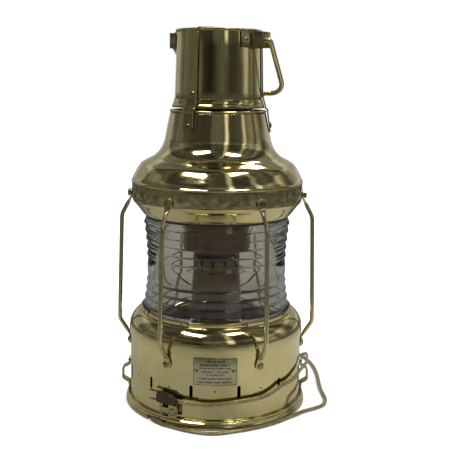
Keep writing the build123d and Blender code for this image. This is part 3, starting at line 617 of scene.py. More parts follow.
def tube(path, radius, sides=28):
    """A round wire along 3D points in metres, its ends closed."""
    rings = []
    last = len(path) - 1
    across = None
    for i, point in enumerate(path):
        along = (path[min(i + 1, last)] - path[max(i - 1, 0)]).normalized()
        if across is None:
            across = along.orthogonal().normalized()
        across = (across - along * across.dot(along)).normalized()
        up = along.cross(across)
        rings.append([point + (across * x + up * y) * MM for x, y in circle(radius, sides)])
    return loft(rings)


def spun(name, node, loops, material=SPUN, slot="brass", body="lantern", angle=32.0, segments=SEGMENTS):
    """Turned part made of one or more closed outlines of (radius, height)."""
    shapes = []
    for loop in loops:
        rings = [[Vector((x, y, height)) * MM for x, y in circle(radius, segments)]
                 for radius, height in loop]
        shapes.append(loft(rings, capped=False, closed=True))
    return piece(name, *merged(shapes), material, body, slot, [node], angle)


# --- foot, drum, shoulder and seat ---
DRUM_R = 131.0
SHEET = 1.5

foot = spun("foot_ring_skin", "foot_ring", [eased([
    (134.5, 0), (138, 0), (138, 5), (137, 6.5), (137, 9.5), (135.5, 11), (135.5, 13), (131.2, 13),
    (131.2, 9), (122, 9), (122, 7.5), (134.5, 7.5),
], 0.9)], DRUM, "brass")
notch_place = Matrix.Translation(outward(EXIT_AROUND) * (FOOT_R - 1.7) * MM) @ Matrix(
    (exit_direction, Vector((0, 0, 1)).cross(exit_direction), (0, 0, 1))).transposed().to_4x4()
cut(foot, [prism([(-17, -5.5), (17, -5.5), (17, 5.5), (-17, 5.5)], notch_place, -1, 7.2)])

drum = spun("drum_skin", "drum_shell", [[
    (DRUM_R, 10.5), (DRUM_R, 44), (DRUM_R, 52), (DRUM_R, 60), (DRUM_R, 67), (DRUM_R, 107.3),
    (DRUM_R - SHEET, 107.3), (DRUM_R - SHEET, 67), (DRUM_R - SHEET, 44), (DRUM_R - SHEET, 10.5),
]], DRUM, "brass")
vents = [prism(slot_outline(17.5, 5), facing(15 + 30 * i, DRUM_R, 54), -6, 6) for i in range(12)]
pin_holes = [prism(circle(1.3, 12), facing(30 * i, DRUM_R, 55), -6, 6) for i in range(12) if i not in (3, 9)]
cut(drum, vents + pin_holes)

spun("shoulder_skin", "drum_shoulder", [sheet_loop(flowing([
    (132.4, 107.3), (132.75, 110), (132.75, 116), (132.4, 121.5), (131.4, 126), (129.0, 131), (124.7, 136.7),
    (120.3, 140.6), (116.5, 142.3), (112, 142.5), (100, 142.5),
]), SHEET)])

seat = spun("lens_seat_skin", "lens_seat_ring", [eased([
    (102, 142.5), (115.5, 142.5), (115.5, 148.5), (113.1, 148.5), (113.1, 144), (102, 144),
], 0.5)])
cut(seat, [prism([(-1.7, -4), (1.7, -4), (1.7, 5), (-1.7, 5)], facing(20 + 40 * i, 112.5, 148.5), -4, 4)
           for i in range(9)])
spun("lower_gasket_skin", "lens_gasket_lower",
     [eased([(103, 144), (112.8, 144), (112.8, 146), (103, 146)], 0.4)], RUBBER, "gasket")

# --- lens ---
LENS_BOTTOM, LENS_TOP, LENS_WAIST_Z = 146.0, 286.5, 210.0
LENS_WAIST_R, LENS_END_R, LENS_WALL = 104.9, 111.4, 6.5
RIB_DEPTH = 3.4
RIB_PITCH = 12.5
UPPER_RIBS = [226.6 + RIB_PITCH * i for i in range(5)]
LOWER_RIBS = [190.0 - RIB_PITCH * i for i in range(4)]


def lens_radius(height):
    half = LENS_TOP - LENS_WAIST_Z if height > LENS_WAIST_Z else LENS_WAIST_Z - LENS_BOTTOM
    return LENS_WAIST_R + (LENS_END_R - LENS_WAIST_R) * ((height - LENS_WAIST_Z) / half) ** 2


ribbed = []
for ridge in LOWER_RIBS[::-1]:
    root = max(ridge - RIB_PITCH + 0.8, LENS_BOTTOM + 1)
    ribbed.append((lens_radius(root) - RIB_DEPTH * 0.5, root))
    ribbed.append((lens_radius(ridge) + RIB_DEPTH * 0.5, ridge))
ribbed.append((lens_radius(LOWER_RIBS[0]) - RIB_DEPTH * 0.5, LOWER_RIBS[0] + 1.2))
for share in (-0.75, -0.4, 0, 0.4, 0.75):
    band = (LOWER_RIBS[0] + UPPER_RIBS[0]) / 2
    ribbed.append((LENS_WAIST_R + 1.2 - 2.2 * share ** 2, band + share * 17))
for ridge in UPPER_RIBS:
    ribbed.append((lens_radius(ridge) - RIB_DEPTH * 0.5, ridge - 1.2))
    ribbed.append((lens_radius(ridge) + RIB_DEPTH * 0.5, ridge))
ribbed.append((lens_radius(LENS_TOP) - RIB_DEPTH, LENS_TOP - 1))
bore = flowing([(LENS_END_R, LENS_TOP), (106.9, 262), (LENS_WAIST_R, 236), (LENS_WAIST_R - 0.2, 210),
                (LENS_WAIST_R, 184), (106.9, 164), (LENS_END_R, LENS_BOTTOM)], 5)
lens_loop = ([(LENS_END_R - RIB_DEPTH, LENS_BOTTOM)] + eased(ribbed, 1.6, closed=False, steps=4)
             + [(LENS_END_R - RIB_DEPTH, LENS_TOP)] + [(r - LENS_WALL, z) for r, z in bore])
spun("fresnel_lens_skin", "fresnel_lens", [lens_loop], LENS, "lens_glass", angle=60.0)
spun("upper_gasket_skin", "lens_gasket_upper",
     [eased([(102, 286.5), (108.4, 286.5), (108.4, 288.2), (102, 288.2)], 0.4)], RUBBER, "gasket")

# --- bowl ---
BOWL_R, BOWL_TOP = 129.1, 338.0
spun("bowl_skin", "bowl", [sheet_loop([(99, 288.2), (105, 288.2)] + flowing([
    (108, 288.3), (111.2, 290.4), (114.4, 293.8), (118.7, 299.6), (123.1, 305.2), (126.6, 309.2),
    (128.6, 313), (129.1, 318),
]) + [(BOWL_R, 328), (BOWL_R, BOWL_TOP)], SHEET)])

# --- guard rods ---
ROD_AROUND = [-151.5, -91.5, -31.5, 28.5, 88.5, 148.5]
ROD_R = 3.15
EYE_FOOT, EYE_TOP = 89.2, 320.0
FOOT_EYE_R, TOP_EYE_R = 7.0, 7.5

rod_line = filleted([
    (132.8, EYE_FOOT - FOOT_EYE_R), (132.8, EYE_FOOT + 8.5), (149.2, EYE_FOOT + 33), (145.6, 286),
    (131.0, 314), (131.0, EYE_TOP + TOP_EYE_R),
], [8, 16, 24, 10])
rod_fine = resampled(rod_line, 0.8)
rod_lengths = [0.0]
for a, b in zip(rod_fine, rod_fine[1:]):
    rod_lengths.append(rod_lengths[-1] + (b - a).length)


def squarish(half_wide, half_tall, power, sides):
    """An oval whose sides flatten as the power falls below one."""
    return [(copysign(half_wide * abs(c) ** power, c), copysign(half_tall * abs(d) ** power, d))
            for c, d in circle(1.0, sides)]


def flattened(distance, eye_r, half_thick):
    """Half width, half thickness and squareness of a forged end, at a distance from its tip."""
    if distance < eye_r:
        width = sqrt(max(0.02, eye_r ** 2 - (eye_r - distance) ** 2))
    else:
        width = ROD_R + (eye_r - ROD_R) * (1 - eased_step(distance, eye_r * 1.1, eye_r + 16))
    roundness = eased_step(distance, eye_r * 2, eye_r + 20)
    return width, half_thick + (ROD_R - half_thick) * roundness, 4.5 - 2.5 * roundness


for number, around in enumerate(ROD_AROUND, start=1):
    place = in_radial_plane(around)
    rings = []
    for i, (point, s) in enumerate(zip(rod_fine, rod_lengths)):
        ahead, behind = rod_fine[min(i + 1, len(rod_fine) - 1)], rod_fine[max(i - 1, 0)]
        run = (ahead - behind).normalized()
        normal = Vector((run.y, -run.x))
        if s < rod_lengths[-1] / 2:
            half_wide, half_thick, square = flattened(s, FOOT_EYE_R, 1.5)
        else:
            half_wide, half_thick, square = flattened(rod_lengths[-1] - s, TOP_EYE_R, 1.6)
        ring = []
        for a, o in squarish(half_wide, half_thick, 2 / square, 32):
            spot = point + normal * o
            ring.append(place(spot.x, spot.y, a))
        rings.append(ring)
    piece(f"guard_rod_{number}_skin", *loft(rings), ROD, "lantern", "brass", [f"guard_rod_{number}"], 50.0)


def turned_heads(name, node, places, profile, material=BOLT, slot="fastener_brass", sides=28, groove=None,
                 body="lantern"):
    """Identical heads or nuts turned from a profile of (radius, height); a groove is (width, depth, top)."""
    heads = [loft([[place @ (Vector((x, y, height)) * MM) for x, y in circle(radius, sides, offset=0.5)]
                   for radius, height in profile]) for place in places]
    made = piece(name, *merged(heads), material, body, slot, [node], 30.0)
    if groove:
        width, depth, top = groove
        bar = [(-9, -width / 2), (9, -width / 2), (9, width / 2), (-9, width / 2)]
        cut(made, [prism(bar, place, top - depth, top + 4) for place in places])
    return made


hex_profile = [(5.4, -0.4), (5.4, 2.9), (4.9, 3.4), (3.2, 3.6)]
turned_heads("hex_bolts_skin", "rod_bolts_top",
             [facing(around, BOWL_R + 0.3 + 3.2, EYE_TOP) @ Matrix.Rotation(radians(13 * i), 4, "Z")
              for i, around in enumerate(ROD_AROUND)], hex_profile, sides=6)
turned_heads("foot_screws_skin", "rod_bolts_foot",
             [facing(around, DRUM_R + 3.3, EYE_FOOT) @ Matrix.Rotation(radians(40 + 31 * i), 4, "Z")
              for i, around in enumerate(ROD_AROUND)], dome_profile(4.8, 2.8, 0.8), groove=(1.1, 1.3, 2.8))

# --- side loops ---
LOOP_W, LOOP_T = 14.0, 2.6
loop_line = filleted([(131.3, 63), (131.3, 51), (142.3, 45), (142.3, 29.5), (131.3, 23), (131.3, 13.6)],
                     [4, 4, 4, 4], 6)
for name, around in (("side_loop_right", 90), ("side_loop_left", -90)):
    piece(name + "_skin", *strip(around, loop_line, LOOP_W / 2, LOOP_T, 1, 6.0, 3.0), CAST,
          "lantern", "brass", [name], 40.0)
turned_heads("side_loop_rivets_skin", "side_loop_rivets",
             [facing(around, DRUM_R + 0.3 + LOOP_T, z) for around in (-90, 90) for z in (57.0, 17.5)],
             dome_profile(3.6, 1.9, 0.3))

# --- name plate ---
PLATE_W, PLATE_BOTTOM, PLATE_TOP, PLATE_T = 63.5, 63.5, 104.5, 1.1
PLATE = brass("plate_metal", (0.58, 0.53, 0.34), (0.30, 0.26, 0.15), 0.30, dents=0.4, turned=0.0, soil=0.7)
ENGRAVED = brass("plate_engraving", (0.08, 0.065, 0.04), (0.03, 0.024, 0.015), 0.45, dents=0.2, soil=0.6)


def on_plate(x, z, depth):
    """A point on the bent plate: x across, z up, depth outward from the drum."""
    turn = x / DRUM_R
    r = DRUM_R + depth
    return Vector((r * sin(turn), -r * cos(turn), z)) * MM


def plate_patch(x0, x1, z0, z1, low, high, corner=0.0, columns=40):
    """A patch of sheet bent round the drum, with rounded corners."""
    rings = []
    for i in range(columns + 1):
        x = x0 + (x1 - x0) * i / columns
        inset = 0.0
        edge = min(x - x0, x1 - x)
        if corner and edge < corner:
            inset = corner - sqrt(max(0.0, corner ** 2 - (corner - edge) ** 2))
        rings.append([on_plate(x, z, depth) for z, depth in (
            (z0 + inset, low), (z0 + inset, high), (z1 - inset, high), (z1 - inset, low))])
    return loft(rings)


plate_shape = plate_patch(-PLATE_W / 2, PLATE_W / 2, PLATE_BOTTOM, PLATE_TOP, 0.2, PLATE_T + 0.1, 3.0, 60)
piece("name_plate_skin", *bevelled(plate_shape, 0.25), PLATE, "lantern", "plate_metal", ["name_plate"], 30.0)
face_low, face_high = PLATE_T + 0.02, PLATE_T + 0.2
marks = [plate_patch(-30.2, 30.2, z, z + 0.6, face_low, face_high) for z in (65.0, 102.3)]
marks += [plate_patch(x, x + 0.6, 65.0, 102.9, face_low, face_high, columns=2) for x in (-30.4, 29.8)]
text_rows = [(97.4, -14, 14, 3.2), (92.6, -21, 21, 3.0), (88.6, -22, 22, 1.7), (83.4, -19, -4, 1.7),
             (83.4, 3, 19, 1.7), (79.2, -12, 12, 1.6), (73.4, -23, 23, 2.0), (68.0, -25, 25, 2.2)]
for row, (z, start, end, tall) in enumerate(text_rows):
    x = start
    stroke = 0
    while x < end:
        wide = 0.9 + 0.5 * ((stroke * 7 + row * 3) % 4)
        marks.append(plate_patch(x, min(end, x + wide), z, z + tall, face_low, face_high, columns=2))
        x += wide + (0.7 if (stroke + row) % 5 else 2.0)
        stroke += 1
piece("plate_lines", *merged(marks), ENGRAVED, "lantern", "dark_brass", [], 40.0)
turned_heads("plate_screws_skin", "plate_screws",
             [facing(degrees_x, DRUM_R + 1.2, 86) @ Matrix.Rotation(radians(turn), 4, "Z")
              for degrees_x, turn in ((-11.25, 35), (11.25, 20))], dome_profile(3.0, 1.6, 0.2),
             groove=(0.8, 0.9, 1.6))

# --- latch ---
LATCH_AROUND, LATCH_Z, LATCH_REACH = -34.0, 23.0, 21.0
PIN_OUT = 5.0
latch_place = facing(LATCH_AROUND, DRUM_R + 0.3, LATCH_Z)


def rounded_box(width, height, radius, x=0.0, y=0.0):
    corners = [(x - width / 2, y - height / 2), (x + width / 2, y - height / 2),
               (x + width / 2, y + height / 2), (x - width / 2, y + height / 2)]
    return eased(corners, radius, steps=5)


def barrel(radius, low, high, sides=32):
    """A short cylinder along local y of the latch, at the hinge pin."""
    place = latch_place @ Matrix.Translation(Vector((0, 0, PIN_OUT)) * MM) @ Matrix.Rotation(-pi / 2, 4, "X")
    return prism(circle(radius, sides), place, low, high)


bracket_shape = bevelled(prism(rounded_box(13, 19, 1.5), latch_place, 0, 2), 0.3)
knuckles = [bevelled(barrel(3.3, low, low + 4.5), 0.35) for low in (-9.5, 5.0)]
piece("latch_bracket_skin", *merged([bracket_shape] + knuckles), CAST, "lantern", "brass",
      ["latch_bracket"], 30.0)
piece("latch_pin_skin", *bevelled(barrel(1.6, -9.7, 9.7), 0.3), BOLT, "lantern", "fastener_brass",
      ["latch_pin"], 30.0)
lever_low, lever_high = PIN_OUT + 0.2, PIN_OUT + 2.2
lever_web = bevelled(prism([(1.5, -4), (LATCH_REACH - 6, -4), (LATCH_REACH - 6, 4), (1.5, 4)],
                           latch_place, lever_low, lever_high), 0.25)
lever_pad = bevelled(prism(rounded_box(15, 19, 1.8, LATCH_REACH), latch_place, lever_low, lever_high), 0.35)
piece("latch_lever_skin", *merged([bevelled(barrel(3.3, -4.7, 4.7), 0.3), lever_web]), CAST, "latch", "brass",
      ["latch_lever"], 30.0)
pad = piece("latch_pad", *lever_pad, CAST, "latch", "brass", [], 30.0)
cut(pad, [prism(circle(5.2, 36, LATCH_REACH), latch_place, 0, 12)])
keeper_place = latch_place @ Matrix.Translation(Vector((LATCH_REACH, 0, 0)) * MM)
keeper_profile = [(4.4, -1.6), (4.4, 7.2), (4.1, 7.8), (3.2, 8.2), (0.5, 8.2)]
turned_heads("latch_keeper_skin", "latch_keeper", [keeper_place @ Matrix.Rotation(radians(25), 4, "Z")],
             keeper_profile, CAST, "brass", sides=36, groove=(1.1, 1.0, 8.2))

# --- lamp inside ---
BURNER_TOP = 197.0
SOCKET_R = 33.0
# The burner parts use the darkened brass, painted shade inside the lantern.
spun("burner_tube_skin", "burner_tube", [eased([
    (43, 88), (43, 91), (37, 97), (37, 139), (38.5, 142), (37, 145), (37, BURNER_TOP), (12, BURNER_TOP),
    (12, BURNER_TOP - 1.2), (35.8, BURNER_TOP - 1.2), (35.8, 97.6), (41.8, 91.6), (41.8, 88),
], 1.0)], INNER_SHADE, "dark_brass")
softened("burner_crown", INNER_SHADE, "dark_brass", width=0.25)
spun("socket_skin", "lamp_socket", [[(0.3, BURNER_TOP)] + eased([
    (SOCKET_R, BURNER_TOP), (SOCKET_R, BURNER_TOP + 6), (SOCKET_R - 1.4, BURNER_TOP + 7),
    (SOCKET_R, BURNER_TOP + 8), (SOCKET_R, BURNER_TOP + 19), (28, BURNER_TOP + 25), (14.5, BURNER_TOP + 25),
], 1.5, closed=False) + [(14.5, BURNER_TOP + 23), (0.3, BURNER_TOP + 23)]], PHENOLIC, "black_fittings",
     angle=40.0, segments=96)
BULB_Z, BULB_R = 250.0, 20.0
bulb_line = [(0.05, 220.2), (12.5, 220.2), (12.5, 234)]
bulb_line += [(BULB_R * sin(radians(a)), BULB_Z - BULB_R * cos(radians(a))) for a in range(44, 180, 4)]
bulb_line.append((0.05, BULB_Z + BULB_R))
spun("bulb_skin", "bulb", [bulb_line], BULB, "bulb_glass", angle=60.0, segments=96)
# The font, base tray, inner flue and smoke baffle take the darkened brasses: painted shade inside the
# lantern.
for name, material, slot in (("font", SOOT_AND_SHADE, "dark_brass"), ("base_tray", INNER_SHADE, "brass"),
                             ("inner_flue", SOOT_AND_SHADE, "dark_brass"), ("smoke_baffle", SOOT_AND_SHADE, "dark_brass")):
    softened(name, material, slot, body="lid" if name in ("inner_flue", "smoke_baffle") else "lantern")

# --- dome lid, neck and chimney ---
NECK_TOP_R, NECK_TOP = 71.6, 446.6
dome_sheet = sheet_loop(flowing([
    (128.6, 342.2), (126.8, 347.2), (123.6, 353.4), (119.8, 360.2), (115.2, 366.2), (106.5, 371.6),
    (97.0, 376.6), (89.8, 383.0), (84.6, 390.6), (81.6, 397.6), (79.6, 404), (76.9, 419), (74.5, 431),
    (72.2, 442.8),
], 6), SHEET)
spigot = eased([(126.9, 329), (127.1, 329), (127.1, 338.05), (129.8, 338.05), (130.2, 340.2), (128.8, 342.3),
                (125.6, 342.3)], 0.9)
spun("dome_skin", "dome_lid", [dome_sheet, spigot], body="lid")
bead = [(r, NECK_TOP - 1.3 + z) for r, z in circle(1.9, 18, NECK_TOP_R - 0.6)]
spun("neck_bead_skin", "neck_rim", [bead], body="lid", angle=50.0)

CHIMNEY_BOTTOM, CHIMNEY_BOTTOM_R = 459.0, 65.4
CHIMNEY_TOP, CHIMNEY_TOP_R = 561.4, 62.6
RIM_TOP = 565.4


def chimney_radius(height):
    share = (height - CHIMNEY_BOTTOM) / (CHIMNEY_TOP - CHIMNEY_BOTTOM)
    return CHIMNEY_BOTTOM_R + share * (CHIMNEY_TOP_R - CHIMNEY_BOTTOM_R)


shell_line = [(chimney_radius(z), z) for z in (CHIMNEY_BOTTOM, 480, 500, 520, 540, CHIMNEY_TOP)]
spun("chimney_skin", "chimney_shell", [sheet_loop(shell_line, SHEET)], body="lid")
rim_outline = [(60.2, CHIMNEY_TOP), (64.6, CHIMNEY_TOP), (64.6, RIM_TOP), (60.2, RIM_TOP)]
spun("chimney_rim_skin", "chimney_rim", [eased(rim_outline, 1.5)], body="lid", angle=50.0)
spun("chimney_flare_skin", "chimney_flare", [sheet_loop(flowing([
    (69.4, 450.5), (69.4, 452.2), (69.3, 453.8), (68.0, 456.5), (67.1, 459.5), (66.8, 463),
]), 1.2)], body="lid")

# a slightly raised band of the darker bolt brass on the rim, painted shade where the rim looks dark; in
# degrees around
SHADE_BAND_START, SHADE_BAND_SWEEP, SHADE_BAND_STEPS = -28, 20, 14
shade_band_section = eased([(60.7, 564.6), (64.7, 564.6), (64.7, 566.5), (60.7, 566.5)], 0.7)
shade_band_rings = [[(outward(SHADE_BAND_START + SHADE_BAND_SWEEP * k / SHADE_BAND_STEPS) * r + Vector((0, 0, z))) * MM
              for r, z in shade_band_section] for k in range(SHADE_BAND_STEPS + 1)]
# This band is painted shade: darker brass laid on the rim where it looks dark.
piece("chimney_rim_painted_shade", *loft(shade_band_rings), BOLT, "lid", "brass", [], 40.0)

STRAP_AROUND = [-34, 86, 206]
STRAP_W, STRAP_T = 16.5, 2.0
STRAP_FOOT_R, STRAP_FOOT_Z = 77.9, 414
RIVET_LOW, RIVET_HIGH = 425, 471.2
strap_line = filleted([
    (STRAP_FOOT_R, STRAP_FOOT_Z), (73.8, 442.5), (73.6, 447.6), (69.9, 450.6), (69.9, 454.5),
    (68.4, 457.5), (67.3, 463.6),
    (chimney_radius(466) + 0.3, 466), (chimney_radius(560) + 0.3, 560),
], [8, 2, 2.5, 3, 3, 2, 2], 4)
for number, around in enumerate(STRAP_AROUND, start=1):
    strap = f"chimney_strap_{number}"
    piece(strap + "_skin", *strip(around, strap_line, STRAP_W / 2, STRAP_T, -1, 8.0, 0.6), CAST,
          "lid", "brass", [strap], 40.0)
neck_fall, neck_rise = STRAP_FOOT_R - 73.8, 28.5
neck_rivet_r = STRAP_FOOT_R - (RIVET_LOW - STRAP_FOOT_Z) * neck_fall / neck_rise + STRAP_T
rivet_places = [facing(a, neck_rivet_r, RIVET_LOW) @ Matrix.Rotation(-atan2(neck_fall, neck_rise), 4, "X")
                for a in STRAP_AROUND]
rivet_places += [facing(a, chimney_radius(RIVET_HIGH) + 0.3 + STRAP_T, RIVET_HIGH) for a in STRAP_AROUND]
turned_heads("strap_rivets_skin", "strap_rivets", rivet_places, dome_profile(4.6, 2.6, 0.3), body="lid")

# --- bail and its brackets ---
BAIL_AROUND, BAIL_Z, BAIL_WIRE_R, PIN_CLEARANCE = 60.0, 549.8, 3.7, 0.08
BRACKET_SEAT_R, BRACKET_T, BRACKET_OUT, BRACKET_HALF, BRACKET_H = 63.8, 2.0, 79.8, 13.0, 23.0


def arc(radius, start, end, steps=8):
    return [(radius * cos(radians(start + (end - start) * k / steps)),
             radius * sin(radians(start + (end - start) * k / steps))) for k in range(steps + 1)]


inside_half = BRACKET_HALF - BRACKET_T
# degrees from the bracket's middle to where its box meets the flanges
outer_turn, inner_turn = 11.4, 9.95


def bracket_outline(before, after):
    """Plan of a bracket whose flanges end this many degrees before and after its middle."""
    seat, top = BRACKET_SEAT_R, BRACKET_SEAT_R + BRACKET_T
    return (arc(top, -before, -outer_turn) + [(BRACKET_OUT, -BRACKET_HALF), (BRACKET_OUT, BRACKET_HALF)]
            + arc(top, outer_turn, after) + arc(seat, after, inner_turn)
            + [(BRACKET_OUT - BRACKET_T, inside_half), (BRACKET_OUT - BRACKET_T, -inside_half)]
            + arc(seat, -inner_turn, -before))


for name, around, before, after in (("bail_bracket_front", BAIL_AROUND, 31, 17.5),
                                    ("bail_bracket_back", BAIL_AROUND + 180, 17.5, 31)):
    out = outward(around)
    flat = Matrix((out, Vector((0, 0, 1)).cross(out), (0, 0, 1))).transposed().to_4x4()
    shape = prism(eased(bracket_outline(before, after), 1.6), flat,
                  BAIL_Z - BRACKET_H / 2, BAIL_Z + BRACKET_H / 2)
    made = piece(name + "_skin", *bevelled(shape, 0.35), CAST, "lid", "brass", [name], 30.0)
    cut(made, [prism(circle(BAIL_WIRE_R + PIN_CLEARANCE, 36), facing(around, BRACKET_OUT, BAIL_Z), -5, 5)])
turned_heads("bracket_screws_skin", "bracket_screws",
             [facing(a, BRACKET_SEAT_R + BRACKET_T, BAIL_Z) @ Matrix.Rotation(radians(a), 4, "Z")
              for a in (36.8, 74, 226, 263.2)], dome_profile(3.1, 1.8, 0.3), groove=(0.8, 0.9, 1.8),
             body="lid")

PIVOT_HALF, BAIL_HALF, BAIL_OUT, BAIL_DROP = 85.5, 75.5, 72.0, 78.0
axis_out = outward(BAIL_AROUND)
axis_front = Vector((0, 0, 1)).cross(axis_out)
bail_points = [(BRACKET_OUT - 6.5, 0, 0), (PIVOT_HALF, 0, 0), (BAIL_HALF, BAIL_OUT, -BAIL_DROP),
               (-BAIL_HALF, BAIL_OUT, -BAIL_DROP), (-PIVOT_HALF, 0, 0), (6.5 - BRACKET_OUT, 0, 0)]
bail_line = resampled(filleted(bail_points, [5.2, 28, 28, 5.2], 12), 4.0)
bail_path = [(axis_out * p.x + axis_front * p.y + Vector((0, 0, BAIL_Z + p.z))) * MM for p in bail_line]
piece("bail_skin", *tube(bail_path, BAIL_WIRE_R), ROD, "bail", "brass", ["bail"], 50.0)

# --- strain relief and plug ---
RELIEF_LENGTH, RELIEF_RIB = 22.0, 1.6
RELIEF_LIFT = 0.2
relief_block = bevelled(prism(rounded_box(14, 10.6, 1.0, -2), notch_place, 1.8, 7.0), 0.4)
travelled = 0.0
sleeve = []
start_point = cord_path[0] - exit_direction * 12 * MM
relief_line = [start_point] + resampled(cord_path[:40], 1.2 * MM)
kept = []
for a, b in zip(relief_line, relief_line[1:]):
    if travelled > RELIEF_LENGTH:
        break
    kept.append((a, travelled))
    travelled += (b - a).length / MM
for i, (point, s) in enumerate(kept):
    after = kept[min(i + 1, len(kept) - 1)][0]
    before = kept[max(i - 1, 0)][0]
    along = (after - before).normalized()
    level = Vector((0, 0, 1)).cross(along).normalized()
    upright = along.cross(level)
    share = s / RELIEF_LENGTH
    groove_depth = 0.35 if int(s / RELIEF_RIB) % 2 else 0.0
    wide = 4.6 - 1.1 * share - groove_depth
    tall = 3.6 - 1.5 * share - groove_depth
    ring = [point + (level * x * wide + upright * y * tall) * MM for x, y in circle(1.0, 28)]
    for spot in ring:
        spot.z = max(spot.z, RELIEF_LIFT * MM)
    sleeve.append(ring)
relief = piece("cord_relief_skin", *merged([relief_block, loft(sleeve)]), RELIEF, "lantern",
               "black_fittings", ["cord_grommet"], 40.0)

half = PLUG_LENGTH / 2
stations = [(-half, 7.2, 4.9), (-half + 0.5, 7.8, 5.3), (-half + 2, 8.0, 5.5), (-half + 8, 8.0, 5.5)]
for k in range(5):
    x = -half + 9 + k * 2.6
    stations += [(x, 8.0 - 0.1 * k, 5.5), (x + 0.5, 7.3 - 0.1 * k, 5.0), (x + 1.4, 7.3 - 0.1 * k, 5.0),
                 (x + 1.9, 8.0 - 0.15 * k, 5.5)]
stations += [(half - 4, 7.0, 5.3), (half - 1, 5.4, 4.6), (half + 1.5, 4.2, 3.8), (half + 7, 3.4, 3.1),
             (half + 8, 2.8, 2.7)]
plug_rings = [[plug_place @ (Vector((x, y, z)) * MM) for y, z in squarish(tall, deep, 0.55, 40)]
              for x, tall, deep in stations]
plug = piece("plug_moulding", *loft(plug_rings), PLUG, "lantern", "plug_plastic", ["plug_body"], 40.0)
PRONG = brass("prong_metal", (0.62, 0.58, 0.46), (0.34, 0.30, 0.22), 0.18, dents=0.1, soil=0.4)
prongs = softened("plug_prongs", PRONG, "prong_metal", width=0.25)

# --- floor, light and background ---
floor_mesh = bpy.data.meshes.new("floor")
floor_mesh.from_pydata([(-15, -15, 0), (15, -15, 0), (15, 15, 0), (-15, 15, 0)], [], [(0, 1, 2, 3)])
paper = Shader("floor_paper")
clouds = paper.ramp(paper.noise(3.0), (0.3, 0.0), (0.7, 1.0))
ray = paper.node("ShaderNodeLightPath").outputs
away = paper.node("ShaderNodeVectorMath", {0: paper.where}, operation="LENGTH").outputs["Value"]
across = paper.node("ShaderNodeSeparateXYZ", {0: paper.where}).outputs["X"]
# In reflections the floor is painted much darker than the camera sees it. This painted reflection runs 0.27
# to 0.40 across x near the lantern, with dark blotches of 0.03 to 0.22 further out, and it sets how bright
# the brass drum looks.
painted_reflection_across = paper.ramp(paper.spread(across, -0.5, 0.5), (0.1, 0.30), (0.25, 0.27), (0.55, 0.27), (0.66, 0.40),
                    (0.9, 0.38))
painted_reflection_far = paper.ramp(paper.noise(2.6, 2.0, 0.5), (0.36, 0.03), (0.50, 0.08), (0.66, 0.22))
painted_floor_reflection = paper.mixed(paper.ramp(away, (0.42, 0.0), (0.80, 1.0)), painted_reflection_across, painted_reflection_far)
floor_tint_with_painted_light = paper.mixed(ray["Is Glossy Ray"], 0.80, painted_floor_reflection)
# Seen through the glass the floor is painted dark: painted shade inside the lens.
floor_tint_with_painted_light = paper.mixed(ray["Is Transmission Ray"], floor_tint_with_painted_light, 0.17)
# Seen straight on, the floor is evenly pale.
floor_tint_with_painted_light = paper.mixed(ray["Is Camera Ray"], floor_tint_with_painted_light,
                         paper.mixed(clouds, (0.96, 0.96, 0.96), (0.93, 0.93, 0.93)))
floor_mesh.materials.append(paper.set(Base_Color=floor_tint_with_painted_light, Roughness=0.9, Specular_IOR_Level=0.0))
floor = bpy.data.objects.new("floor", floor_mesh)
bpy.context.scene.collection.objects.link(floor)

world = bpy.data.worlds.new("studio")
world.use_nodes = True
bpy.context.scene.world = world
world.node_tree.nodes.clear()
room = Nodes(world.node_tree, "Generated")
heading = room.node("ShaderNodeSeparateXYZ", {0: room.where}).outputs
toward = room.node("ShaderNodeMath", {0: heading["Y"], 1: -1.0}, operation="MULTIPLY").outputs[0]
azimuth = room.node("ShaderNodeMath", {0: heading["X"], 1: toward}, operation="ARCTAN2").outputs[0]
turned = room.spread(azimuth, -pi, pi)

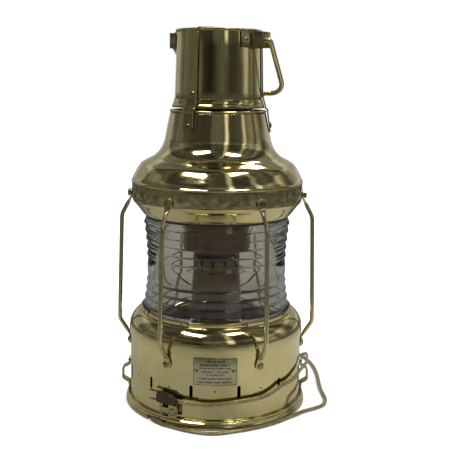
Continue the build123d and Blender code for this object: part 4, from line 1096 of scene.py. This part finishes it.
# a dim room with a few upright bright openings, as polished brass shows it
ROOM_LOW = [
    (-180, 0.35), (-130, 0.50), (-120, 0.30), (-110, 0.16), (-80, 0.19), (-70, 0.28), (-60, 0.15),
    (-50, 0.14), (-40, 0.046), (-30, 0.02), (-20, 0.014), (-10, 0.05), (0, 0.10), (10, 0.145), (20, 0.08),
    (30, 0.04), (50, 0.055), (60, 0.075), (66, 0.20), (72, 0.45), (80, 0.65), (86, 0.30), (90, 0.12),
    (100, 0.28), (110, 0.08), (120, 0.28), (130, 0.60), (180, 0.40),
]
ROOM_HIGH = [
    (-180, 0.30), (-130, 0.40), (-120, 0.10), (-100, 0.18), (-85, 0.18), (-78, 0.10), (-60, 0.07),
    (-30, 0.05), (-20, 0.035), (-12, 0.14), (10, 0.13), (15, 0.10), (17, 1.10), (23, 1.10), (26, 0.08),
    (55, 0.09), (57, 0.80), (62, 0.80), (65, 0.16), (80, 0.30), (90, 0.12), (100, 0.45), (110, 0.10),
    (120, 0.08), (130, 0.40), (180, 0.35),
]


BY_HEIGHT = [(0.0, 1.0), (0.36, 1.0), (0.40, 1.7), (0.50, 1.7), (0.54, 0.6), (1.0, 0.5)]


def around_room(levels):
    """Brightness of the room by azimuth, in degrees from the camera side."""
    return room.ramp(turned, *[((degrees + 180) / 360, level) for degrees, level in levels])


# the room is darker overhead, and uneven
uneven = room.spread(room.noise(7.0, 2.0, 0.5, room.stretched((1, 1, 0.3))), 0.35, 0.65, 0.75, 1.25)
overhead = room.ramp(heading["Z"], *BY_HEIGHT)
dimmed = room.node("ShaderNodeMath", {0: overhead, 1: uneven}, operation="MULTIPLY")
openings = room.mixed(room.spread(heading["Z"], 0.10, 0.17), around_room(ROOM_LOW), around_room(ROOM_HIGH))
shown = room.node("ShaderNodeMath", {0: dimmed.outputs[0], 1: openings}, operation="MULTIPLY").outputs[0]
ray = room.node("ShaderNodeLightPath").outputs
seen = room.mixed(ray["Is Glossy Ray"], 1.06, shown)
seen = room.mixed(ray["Is Transmission Ray"], seen, 0.22)
seen = room.mixed(ray["Is Camera Ray"], seen, 1.0)
shine = room.node("ShaderNodeBackground", {"Color": seen}).outputs[0]
room.node("ShaderNodeOutputWorld", {"Surface": shine})


def soft_light(name, place, aim, size, watts):
    lamp = bpy.data.lights.new(name, "AREA")
    lamp.shape = "RECTANGLE"
    lamp.size, lamp.size_y = size
    lamp.energy = watts
    holder = bpy.data.objects.new(name, lamp)
    holder.location = place
    holder.rotation_euler = (Vector(aim) - Vector(place)).to_track_quat("-Z", "Y").to_euler()
    bpy.context.scene.collection.objects.link(holder)


soft_light("ceiling_left", (-1.1, -1.2, 2.5), (0, 0, 0.3), (1.2, 0.35), 26)
soft_light("ceiling_right", (0.9, -0.9, 2.5), (0, 0, 0.3), (0.9, 0.35), 22)
soft_light("ceiling_back", (0.2, 1.4, 2.4), (0, 0, 0.4), (1.6, 0.5), 26)

scene = bpy.context.scene
scene.view_settings.view_transform = "Standard"
